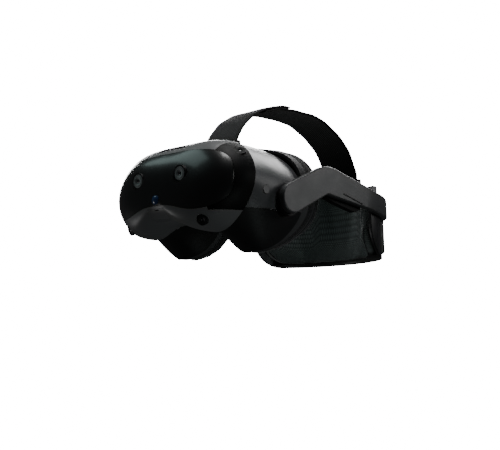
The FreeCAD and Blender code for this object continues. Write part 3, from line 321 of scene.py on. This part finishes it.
STRAP_HALF = 0.023          # half the top strap's width
WEB_PITCH = (0.0015, 0.0026)
WEB_RELIEF = 0.0004
# edge paints a highlight: the edge strips are drawn 1.7 times lighter here and 1.3 times on the
# black webbing.
webbing = woven("webbing", (0.010, 0.0098, 0.0108), (0.006, 0.006, 0.0066), WEB_PITCH, WEB_RELIEF,
                edge=1.7, half_width=STRAP_HALF, Roughness=0.8, Sheen_Weight=0.25,
                Sheen_Roughness=0.45, Specular_IOR_Level=0.3)
webbing_black = woven("webbing_black", (0.004, 0.004, 0.0043), (0.0025, 0.0025, 0.0028), WEB_PITCH,
                      WEB_RELIEF, edge=1.3, half_width=STRAP_HALF, Roughness=0.8, Sheen_Weight=0.2,
                      Sheen_Roughness=0.45, Specular_IOR_Level=0.3)
thread_grey = moulded("thread_grey", (0.045, 0.046, 0.05), 0.8, grain=0.0004)
piping_dark = moulded("piping_dark", (0.01, 0.0115, 0.0115), 0.75, grain=0.0005, Sheen_Weight=0.3)


def both(*names):
    """The left and the right node of each name."""
    return [name + side for name in names for side in ("_left", "_right")]


FINISHES = {
    cover_gloss: ["front_cover"],
    side_dark: both("side_panel"),
    frame_satin: ["top_frame"],
    frame_lower: ["lower_frame", "port_cover"],
    black_matt: ["vent_grille", "audio_jack"],
    camera_black: both("passthrough_camera", "tracking_camera_upper", "tracking_camera_lower"),
    sensor_blue: ["depth_sensor"],
    housing_grey: ["rear_housing"],
    # Painted shade: the under cover is made near black where the housing turns away from the lamps.
    under_black: ["under_cover"],
    gasket_matt: ["gasket_frame"],
    nose_rubber: ["nose_guard"],
    inner_plastic: both("lens_barrel") + ["optics_bracket", "fan_housing", "fan_rotor"],
    gear_plastic: both("adjust_strap") + ["dial_pinion"],
    collar_black: both("pivot_collar") + ["strap_anchor_front", "strap_anchor_rear"],
    arm_satin: both("arm"),
    speaker_black: both("speaker"),
    carrier_matt: ["rear_carrier"],
    module_grey: ["rear_module"],
    dial_dark: ["fit_dial"],
    battery_black: ["battery_pack"],
    latch_grey: ["battery_latch"],
    key_grey: ["power_button", "volume_rocker"],
    display_black: both("display"),
    board_green: ["main_board"],
    steel: ["guide_rod", "spacing_screw", "spacing_motor", "board_screws"],
    fin_metal: ["heat_sink"],
    dark_steel: both("pivot_pin") + ["usb_socket"],
    glass_left: ["lens_left"],
    glass_right: ["lens_right"],
}
for material, names in FINISHES.items():
    for name in names:
        nodes[name].data.materials.clear()
        nodes[name].data.materials.append(material)

ROUNDED_EDGES = both("arm", "speaker", "pivot_collar") + [
    "rear_module", "battery_pack", "fit_dial", "rear_carrier", "port_cover", "strap_anchor_front",
    "strap_anchor_rear", "power_button", "volume_rocker", "battery_latch"]
EDGE_WIDTH = 0.0005
SAME_CORNER = 0.00001
SHARP = math.radians(35)


def soften(name):
    """Breaks the sharp edges of a CAD piece so that they catch the light."""
    joined = nodes[name].modifiers.new("joined", "WELD")
    joined.merge_threshold = SAME_CORNER
    edges = nodes[name].modifiers.new("edges", "BEVEL")
    edges.width = EDGE_WIDTH
    edges.segments = 2
    edges.limit_method = "ANGLE"
    edges.angle_limit = SHARP
    edges.harden_normals = True


# ---------------------------------------------------------------- ways to make pieces


def add_piece(name, points, faces, material, body=None, flat_uv=None):
    """A mesh piece; flat_uv gives each corner's place on the uncut cloth, face by face."""
    mesh = bpy.data.meshes.new(name)
    mesh.from_pydata([tuple(point) for point in points], [], faces)
    mesh.validate()
    for polygon in mesh.polygons:
        polygon.use_smooth = True
    mesh.materials.append(material)
    if flat_uv:
        layer = mesh.uv_layers.new(name="cloth")
        layer.data.foreach_set("uv", [part for corner in flat_uv for part in corner])
    piece = bpy.data.objects.new(name, mesh)
    scene.collection.objects.link(piece)
    if body:
        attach(piece, body)
    return piece


def frame_about(direction):
    """Two directions at right angles to this one."""
    direction = direction.normalized()
    side = direction.orthogonal().normalized()
    return side, direction.cross(side)


def lathe(profile, spot, direction, steps=48):
    """Points and faces of an outline of (radius, distance along) turned about a direction."""
    side, other = frame_about(direction)
    direction = direction.normalized()
    points = []
    for radius, along in profile:
        for step in range(steps):
            angle = 2 * math.pi * step / steps
            points.append(spot + direction * along + side * radius * math.cos(angle)
                          + other * radius * math.sin(angle))
    faces = []
    for row in range(len(profile) - 1):
        for step in range(steps):
            following = (step + 1) % steps
            faces.append((row * steps + step, row * steps + following,
                          (row + 1) * steps + following, (row + 1) * steps + step))
    return points, faces


def joined_up(parts):
    """One list of points and faces from several."""
    points = []
    faces = []
    for more_points, more_faces in parts:
        shift = len(points)
        points += more_points
        faces += [tuple(corner + shift for corner in face) for face in more_faces]
    return points, faces


CURVE_STEPS = 24            # straight steps that each stretch of a curve is measured by


def smooth_line(corners, count):
    """Points spread evenly along a smooth curve through these corners."""
    rough = []
    last = len(corners) - 1
    for index in range(last):
        before = corners[max(index - 1, 0)]
        start = corners[index]
        finish = corners[index + 1]
        after = corners[min(index + 2, last)]
        for step in range(CURVE_STEPS):
            t = step / CURVE_STEPS
            rough.append(((start * 2) + (finish - before) * t
                          + (before * 2 - start * 5 + finish * 4 - after) * t * t
                          + (start * 3 - before - finish * 3 + after) * t * t * t) / 2)
    rough.append(corners[-1])
    lengths = [0.0]
    for first, second in zip(rough, rough[1:]):
        lengths.append(lengths[-1] + (second - first).length)
    line = []
    at = 0
    for step in range(count):
        wanted = lengths[-1] * step / (count - 1)
        while at < len(rough) - 2 and lengths[at + 1] < wanted:
            at += 1
        share = (wanted - lengths[at]) / max(lengths[at + 1] - lengths[at], 1e-9)
        line.append(rough[at].lerp(rough[at + 1], share))
    return line


def tube_round(line, radius, closed=False, steps=8):
    """A thin round tube that follows a line of points."""
    points = []
    faces = []
    count = len(line)
    normal = None
    for index in range(count):
        ahead = line[(index + 1) % count] if closed or index < count - 1 else line[index]
        behind = line[index - 1] if closed or index > 0 else line[index]
        along = (ahead - behind).normalized()
        if normal is None:
            normal = along.orthogonal().normalized()
        normal = (normal - along * normal.dot(along)).normalized()
        other = along.cross(normal)
        for step in range(steps):
            angle = 2 * math.pi * step / steps
            points.append(line[index] + normal * radius * math.cos(angle)
                          + other * radius * math.sin(angle))
    rows = count if closed else count - 1
    for row in range(rows):
        following_row = (row + 1) % count
        for step in range(steps):
            following = (step + 1) % steps
            faces.append((row * steps + step, row * steps + following,
                          following_row * steps + following, following_row * steps + step))
    return points, faces


def stitch_run(line, normals, length=0.0022, gap=0.0011, radius=0.00028):
    """Short raised stitches that follow a line over a cloth."""
    parts = []
    travelled = 0.0
    next_start = gap
    stitch = []
    for index in range(1, len(line)):
        travelled += (line[index] - line[index - 1]).length
        if travelled >= next_start:
            rise = 0.8 if stitch else 0.2
            stitch.append(line[index] + normals[index] * radius * rise)
        if stitch and travelled >= next_start + length:
            stitch[-1] = line[index] + normals[index] * radius * 0.2
            if len(stitch) > 1:
                parts.append(tube_round(stitch, radius, steps=6))
            stitch = []
            next_start = travelled + gap
    return joined_up(parts)


# ---------------------------------------------------------------- camera windows

# Which way each camera of the left side looks in; the right side mirrors it.
UPPER_INWARDS = Vector((-0.55, 0.42, -0.72)).normalized()
LOWER_INWARDS = Vector((-0.30, 0.90, 0.32)).normalized()
REARWARDS = Vector((0, 1, 0))
PASSTHROUGH_RADIUS = 0.0082
TRACKING_RADIUS = 0.0056
BACK_DEPTH = 0.00005        # corners this near the deepest one belong to a barrel's back end
# Outlines for the larger camera: share of the radius, and depth behind the rim.
WINDOW = [(0.24, 0.0014), (0.22, 0.001), (0.16, 0.0008), (0.08, 0.0007), (0.01, 0.00065)]
DISC = [(0.85, 0.0007), (0.83, 0.0003), (0.72, 0.00022), (0.7, 0.00045), (0.66, 0.00045),
        (0.64, 0.0002), (0.5, 0.0002), (0.49, 0.0004), (0.34, 0.0004), (0.32, 0.0007),
        (0.27, 0.0008), (0.25, 0.0013)]
# Outline of the sensor's dome: radius, and depth behind the rim.
SENSOR_DOME = [(0.0042, 0.0006), (0.0040, 0.0001), (0.0033, -0.0005), (0.0021, -0.0009),
               (0.0001, -0.0011)]


def mirrored_x(direction):
    """The same direction on the other side."""
    return Vector((-direction.x, direction.y, direction.z))


def rim_middle(name, inwards):
    """The middle of a camera barrel's outer rim, found from its plain back end."""
    corners = [vertex.co for vertex in nodes[name].data.vertices]
    reach = [corner.dot(inwards) for corner in corners]
    near = min(reach)
    far = max(reach)
    back = [corner for corner, depth in zip(corners, reach) if depth > far - BACK_DEPTH]
    ring = {tuple(round(part, 6) for part in corner) for corner in back}
    middle = sum((Vector(corner) for corner in ring), Vector()) / len(ring)
    return middle - inwards * (far - near)


def camera_window(name, inwards, radius, ring_material):
    """The face of a camera: a nearly flush stepped disc round a small domed window."""
    surface = rim_middle(name, inwards)
    shrink = radius / PASSTHROUGH_RADIUS
    for part, outline, material in (("_window", WINDOW, window_glass),
                                    ("_disc", DISC, ring_material)):
        profile = [(radius * share, depth * shrink) for share, depth in outline]
        points, faces = lathe(profile, surface, inwards)
        add_piece(name + part, points, faces, material, "visor")


for name_end, upper, lower in (("_left", UPPER_INWARDS, LOWER_INWARDS),
                               ("_right", mirrored_x(UPPER_INWARDS), mirrored_x(LOWER_INWARDS))):
    camera_window("passthrough_camera" + name_end, REARWARDS, PASSTHROUGH_RADIUS, ring_grey)
    camera_window("tracking_camera_upper" + name_end, upper, TRACKING_RADIUS, camera_black)
    camera_window("tracking_camera_lower" + name_end, lower, TRACKING_RADIUS, camera_black)
points, faces = lathe(SENSOR_DOME, rim_middle("depth_sensor", REARWARDS), REARWARDS)
add_piece("depth_sensor_window", points, faces, sensor_blue, "visor")

# ---------------------------------------------------------------- vent slot

FINS = 15
FIN_SPAN = 0.039            # first fin to last
FIN_HALF = 0.00035
FIN_RISE = 0.0007
FIN_FRONT = -0.1310
FIN_REAR = -0.1250
ABOVE_ALL = 0.2             # a height from which to look down on the grille
FIN_FACES = [(1, 3, 7, 5), (0, 1, 5, 4), (2, 6, 7, 3), (0, 2, 3, 1), (4, 5, 7, 6)]


def tree_of(name):
    """A CAD piece's surface, ready to be looked down upon."""
    mesh = nodes[name].data
    return BVHTree.FromPolygons([vertex.co for vertex in mesh.vertices],
                                [tuple(polygon.vertices) for polygon in mesh.polygons])


grille = tree_of("vent_grille")
fin_parts = []
for index in range(FINS):
    middle = -FIN_SPAN / 2 + FIN_SPAN * index / (FINS - 1)
    fin = []
    for offset in (-FIN_HALF, FIN_HALF):
        for y in (FIN_FRONT, FIN_REAR):
            spot = grille.ray_cast(Vector((middle + offset, y, ABOVE_ALL)), Vector((0, 0, -1)))[0]
            if spot:
                fin += [spot, spot + Vector((0, 0, FIN_RISE))]
    if len(fin) == 8:
        fin_parts.append((fin, FIN_FACES))
points, faces = joined_up(fin_parts)
add_piece("vent_fins", points, faces, side_dark, "visor")

# ---------------------------------------------------------------- cushions and straps: shared ways


def loft(rings, closed, across):
    """Points, faces and cloth places of a skin over equal rings; across is each corner's place."""
    count = len(rings[0])
    travelled = [0.0]
    for before, after in zip(rings, rings[1:]):
        travelled.append(travelled[-1] + (after[0] - before[0]).length)
    if closed:
        travelled.append(travelled[-1] + (rings[0][0] - rings[-1][0]).length)
    points = [point for ring in rings for point in ring]
    faces = []
    cloth = []
    rows = len(rings) if closed else len(rings) - 1
    for row in range(rows):
        following_row = (row + 1) % len(rings)
        for step in range(count):
            following = (step + 1) % count
            faces.append((row * count + step, row * count + following,
                          following_row * count + following, following_row * count + step))
            cloth += [(travelled[row], across[step]), (travelled[row], across[step + 1]),
                      (travelled[row + 1], across[step + 1]), (travelled[row + 1], across[step])]
    if not closed:
        for row in (0, len(rings) - 1):
            cap = tuple(row * count + step for step in range(count))
            faces.append(cap if row else cap[::-1])
            cloth += [(travelled[row], across[step]) for step in range(count)]
    return points, faces, cloth


def power_of(value, power):
    """A power that keeps the value's sign."""
    return math.copysign(abs(value) ** power, value)


def smooth_step(value):
    """A gentle rise from 0 to 1."""
    value = min(1.0, max(0.0, value))
    return value * value * (3 - 2 * value)


SWELL_LIMIT = 0.0022        # the most that a corner of the cover may move
SWELL_FRAMES = 24


def swell(piece, held, pressure):
    """Blows a cushion's cover up a little as cloth, with its held corners fixed."""
    group = piece.vertex_groups.new(name="held")
    for index, share in enumerate(held):
        group.add([index], share, "REPLACE")
    start = [vertex.co.copy() for vertex in piece.data.vertices]
    blown = piece.modifiers.new("blown", "CLOTH")
    settings = blown.settings
    settings.quality = 6
    settings.mass = 0.05
    settings.air_damping = 4
    settings.tension_stiffness = 12
    settings.compression_stiffness = 12
    settings.shear_stiffness = 4
    settings.bending_stiffness = 0.3
    settings.use_pressure = True
    settings.uniform_pressure_force = pressure
    settings.vertex_group_mass = "held"
    settings.shrink_min = -0.015
    settings.effector_weights.gravity = 0
    blown.collision_settings.use_collision = False
    blown.point_cache.frame_start = 1
    blown.point_cache.frame_end = SWELL_FRAMES
    for number in range(1, SWELL_FRAMES + 1):
        scene.frame_set(number)
    shown = piece.evaluated_get(bpy.context.evaluated_depsgraph_get())
    moved = [vertex.co.copy() for vertex in shown.data.vertices]
    piece.modifiers.remove(blown)
    for vertex, before, after in zip(piece.data.vertices, start, moved):
        shift = after - before
        if shift.length > SWELL_LIMIT:
            shift = shift * (SWELL_LIMIT / shift.length)
        vertex.co = before + shift
    scene.frame_set(1)


# ---------------------------------------------------------------- rear cushion

BAND_Y = 0.056              # centre of the curve that the rear cushion follows
PAD_OUT = 0.0838
PAD_IN = 0.0702
PAD_MIDDLE = (PAD_OUT + PAD_IN) / 2
PAD_HALF = (PAD_OUT - PAD_IN) / 2
PAD_LOW = 0.0034
WING_HIGH = 0.062
SPINE_RISE = 0.0222         # how much higher the middle is than the wings
SPINE_HALF = 0.041
SPINE_BLEND = 0.012
TIP_Y = 0.0745
TIP_THIN = 0.009            # the stretch over which the tips grow thin
LOW_CORNER = 0.033
HIGH_CORNER = 0.014
REAR_ROWS = 150
REAR_RING = 56
REAR_GIRTH = 0.145          # length of cloth round the section
REAR_HELD = 0.35            # the cover is held where it bulges inwards less than this
REAR_PRESSURE = 1.5
REAR_TALL_POWER = 0.42      # powers below 1 make the section squarer
REAR_DEEP_POWER = 0.55
TIP_THINNEST = 0.02
TIP_SHORT = 0.002           # angle by which the cushion stops short of its tips
PIPING_TURN = 0.36
REAR_PIPING = 0.0007


def corner_rise(from_tip, radius):
    """How far a rounded corner lifts the edge at this distance from the tip."""
    if from_tip >= radius:
        return 0.0
    return radius - math.sqrt(radius ** 2 - (radius - from_tip) ** 2)


def pad_heights(angle):
    """The rear cushion's lowest and highest place at this angle, and its share of thickness."""
    x = PAD_MIDDLE * math.sin(angle)
    from_tip = max(0.0, BAND_Y + PAD_MIDDLE * math.cos(angle) - TIP_Y)
    low = PAD_LOW + corner_rise(from_tip, LOW_CORNER)
    high = WING_HIGH + SPINE_RISE * smooth_step((SPINE_HALF - abs(x)) / SPINE_BLEND)
    high -= corner_rise(from_tip, HIGH_CORNER)
    thin = 1.0
    if from_tip < TIP_THIN:
        thin = max(TIP_THINNEST, math.sqrt(1 - (1 - from_tip / TIP_THIN) ** 2))
    return low, high, thin


def rear_point(angle, turn):
    """A place on the rear cushion's skin; turn runs round its section, 0 at the top."""
    low, high, thin = pad_heights(angle)
    z = (low + high) / 2 + (high - low) / 2 * power_of(math.cos(turn), REAR_TALL_POWER)
    radius = PAD_OUT - PAD_HALF - PAD_HALF * thin * power_of(math.sin(turn), REAR_DEEP_POWER)
    return Vector((radius * math.sin(angle), BAND_Y + radius * math.cos(angle), z))


rear_reach = math.acos((TIP_Y - BAND_Y) / PAD_MIDDLE) - TIP_SHORT
rear_angles = [rear_reach * math.sin(math.pi / 2 * (2 * row / (REAR_ROWS - 1) - 1))
               for row in range(REAR_ROWS)]
rear_rings = [[rear_point(angle, 2 * math.pi * step / REAR_RING) for step in range(REAR_RING)]
              for angle in rear_angles]
rear_across = [REAR_GIRTH * step / REAR_RING for step in range(REAR_RING + 1)]
points, faces, cloth = loft(rear_rings, False, rear_across)
rear_pad = add_piece("rear_pad", points, faces, pad_cloth, flat_uv=cloth)
rear_held = []
for row in range(REAR_ROWS):
    for step in range(REAR_RING):
        inside = math.sin(2 * math.pi * step / REAR_RING)
        rear_held.append(1.0 if inside < REAR_HELD else 0.0)
swell(rear_pad, rear_held, REAR_PRESSURE)
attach(rear_pad, "rear_support")
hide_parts("rear_cushion")

seam_parts = []
for turn in (PIPING_TURN, math.pi - PIPING_TURN):
    line = [rear_point(angle, turn) for angle in rear_angles[4:-4]]
    seam_parts.append(tube_round(line, REAR_PIPING))
points, faces = joined_up(seam_parts)
add_piece("rear_pad_piping", points, faces, piping_dark, "rear_support")

# ---------------------------------------------------------------- face cushion

FACE_Y = 0.104              # centre of the curve that the face cushion follows
FACE_FLARE = 0.042          # radius by which the cheeks curve forward
FACE_DEPTH = 0.1389
FACE_HALF_DEPTH = 0.0066
FACE_WIDTH = 0.0066         # outline to the middle of the section
FACE_HALF_WIDTH = 0.0064
FACE_POWER = 0.6            # below 1, so that the section is squarer than a ring
FACE_MIDDLE = Vector((0, 0, 0.06))
TEMPLE_X = 0.05             # beyond this the section is turned to face the middle
FACE_ROWS = 260
FACE_RING = 40
FACE_GIRTH = 0.042          # length of cloth round the section
FACE_HELD = 0.3             # the cover is held where it faces the wearer less than this
FACE_PRESSURE = 1.2
FACE_PIPING = 0.0006
TABLE_GAP = 0.0003          # the lowest that the cushion's skin comes
# One half of the face cushion's outline from the front, top centre to bottom centre, in mm.
FACE_OUTLINE = [(0, 112), (28, 110.5), (50, 106), (66, 98.5), (76, 85), (80, 66), (78.5, 45),
                (69.5, 21), (57.5, 5.2), (45, 0.55), (32.5, 6.2), (21.5, 22), (11, 39.5), (0, 47)]
half = [Vector((x / 1000, 0, z / 1000)) for x, z in FACE_OUTLINE]
whole = half + [Vector((-spot.x, 0, spot.z)) for spot in reversed(half[1:-1])]
FINE_COUNT = 2000
NEAR_END = 300              # the outline starts and ends within this many fine points


def from_top(index):
    """How far a fine point is from the outline's top centre."""
    return (line[index] - whole[0]).length


line = smooth_line([whole[-1]] + whole + whole[:2], FINE_COUNT)
start_at = min(range(NEAR_END), key=from_top)
end_at = min(range(FINE_COUNT - NEAR_END, FINE_COUNT), key=from_top)
face_line = [line[start_at + round((end_at - start_at) * row / FACE_ROWS)]
             for row in range(FACE_ROWS)]


def face_ring(row):
    """The section of the face cushion at one place on its outline."""
    spot = face_line[row]
    run = (face_line[(row + 1) % FACE_ROWS] - face_line[row - 1]).normalized()
    inwards = Vector((run.z, 0, -run.x))
    if inwards.dot(FACE_MIDDLE - spot) < 0 and abs(spot.x) > TEMPLE_X:
        inwards = -inwards
    ring = []
    for step in range(FACE_RING):
        turn = 2 * math.pi * step / FACE_RING
        width = FACE_WIDTH - FACE_HALF_WIDTH * power_of(math.cos(turn), FACE_POWER)
        depth = FACE_DEPTH + FACE_HALF_DEPTH * power_of(math.sin(turn), FACE_POWER)
        place = spot + inwards * width
        lift = max(TABLE_GAP, place.z)
        flare = 0.0
        if lift < FACE_FLARE:
            flare = FACE_FLARE - math.sqrt(FACE_FLARE ** 2 - (FACE_FLARE - lift) ** 2)
        y = FACE_Y - math.sqrt((depth + flare) ** 2 - place.x ** 2)
        ring.append(Vector((place.x, y, lift)))
    return ring


face_rings = [face_ring(row) for row in range(FACE_ROWS)]
face_across = [FACE_GIRTH * step / FACE_RING for step in range(FACE_RING + 1)]
points, faces, cloth = loft(face_rings, True, face_across)
face_pad = add_piece("face_pad", points, faces, face_cloth, flat_uv=cloth)
face_held = []
for row in range(FACE_ROWS):
    for step in range(FACE_RING):
        wearer_side = -math.sin(2 * math.pi * step / FACE_RING)
        face_held.append(1.0 if wearer_side < FACE_HELD else 0.0)
swell(face_pad, face_held, FACE_PRESSURE)
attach(face_pad, "face_gasket")
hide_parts("face_cushion")
edge_line = [face_rings[row][4].lerp(face_rings[row][5], 0.5) for row in range(FACE_ROWS)]
points, faces = tube_round(edge_line, FACE_PIPING, closed=True)
add_piece("face_pad_piping", points, faces, piping_dark, "face_gasket")

# ---------------------------------------------------------------- top straps

FRONT_COUNT = 90            # points along each strap
REAR_COUNT = 150
SEWN_FROM = 70              # the front strap's points between which it is sewn to the rear one
SEWN_TO = 86
STRAP_THICK = 0.0019
STRAP_EDGE = 0.0003         # how far the rounded selvedge stands out
ACROSS = 12                 # steps across a web
RIPPLE = 0.0002
EDGE_DROP = 0.0004          # how far a web's edges bend down
SEWN_EDGE = 0.004           # stitches to selvedge
SEWN_DROP = 0.0003
ROW_STEPS = 40              # steps along a row of stitches across the web
# Paths of the straps' upper faces: each place's Y and Z in millimetres.
FRONT_PATH = [(-64.4, 116.6), (-58, 128.1), (-43, 144.1), (-21, 156.6), (5, 163.6), (21, 164.6)]
REAR_PATH = [(-19, 154.8), (5, 161.0), (21, 162.0), (43, 161.5), (70, 158.1), (98, 144.6),
             (117, 128.1), (127, 110.1), (130.5, 101), (131, 90.5)]


def above_at(line, index):
    """The direction away from the head at one point of a strap's line."""
    ahead = line[min(index + 1, len(line) - 1)]
    behind = line[max(index - 1, 0)]
    along = (ahead - behind).normalized()
    return Vector((0, -along.z, along.y))


def strap(name, path, material, node, rows):
    """A webbing strap with rounded selvedges, laid along a curved path."""
    line = smooth_line([Vector((0, y / 1000, z / 1000)) for y, z in path], rows)
    section = []
    for step in range(ACROSS + 1):
        section.append((-STRAP_HALF + 2 * STRAP_HALF * step / ACROSS, 1))
    section += [(STRAP_HALF + STRAP_EDGE, 0.5)]
    for step in range(ACROSS + 1):
        section.append((STRAP_HALF - 2 * STRAP_HALF * step / ACROSS, 0))
    section += [(-STRAP_HALF - STRAP_EDGE, 0.5)]
    rings = []
    for index, spot in enumerate(line):
        above = above_at(line, index)
        ring = []
        for x, share in section:
            ripple = RIPPLE * math.sin(index * 0.31 + x * 90)
            sag = ripple - EDGE_DROP * (x / STRAP_HALF) ** 4
            ring.append(spot + Vector((x, 0, 0)) + above * (sag - STRAP_THICK * (1 - share)))
        rings.append(ring)
    across = [x for x, share in section] + [-STRAP_HALF]
    points, faces, cloth = loft(rings, False, across)
    piece = add_piece(name, points, faces, material, flat_uv=cloth)
    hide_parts(node)
    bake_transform(piece)
    return line


front_line = strap("strap_front", FRONT_PATH, webbing,
                   "top_strap_front", FRONT_COUNT)
strap("strap_rear", REAR_PATH, webbing_black,
      "top_strap_rear", REAR_COUNT)


def box_stitch(name, line, first, last, body):
    """A sewn box with its two diagonals on a strap, between two places on its line."""
    span = line[first:last]
    normals = [above_at(span, index) for index in range(len(span))]
    runs = []
    edge = STRAP_HALF - SEWN_EDGE
    for start_x, end_x in ((edge, edge), (-edge, -edge), (edge, -edge), (-edge, edge)):
        count = len(span) * 4
        dense = []
        dense_normals = []
        for step in range(count):
            at = step / (count - 1) * (len(span) - 1)
            low = min(int(at), len(span) - 2)
            spot = span[low].lerp(span[low + 1], at - low)
            x = start_x + (end_x - start_x) * step / (count - 1)
            dense.append(spot + Vector((x, 0, -SEWN_DROP * (x / STRAP_HALF) ** 4)))
            dense_normals.append(normals[low])
        runs.append(stitch_run(dense, dense_normals))
    for index in (0, len(span) - 1):
        row = [span[index] + Vector((-edge + 2 * edge * step / ROW_STEPS, 0, 0))
               for step in range(ROW_STEPS + 1)]
        runs.append(stitch_run(row, [normals[index]] * len(row)))
    points, faces = joined_up(runs)
    add_piece(name, points, faces, thread_grey, body)


box_stitch("front_stitches", front_line, SEWN_FROM, SEWN_TO, "side_arms")

# ---------------------------------------------------------------- edges

for name in ROUNDED_EDGES:
    soften(name)
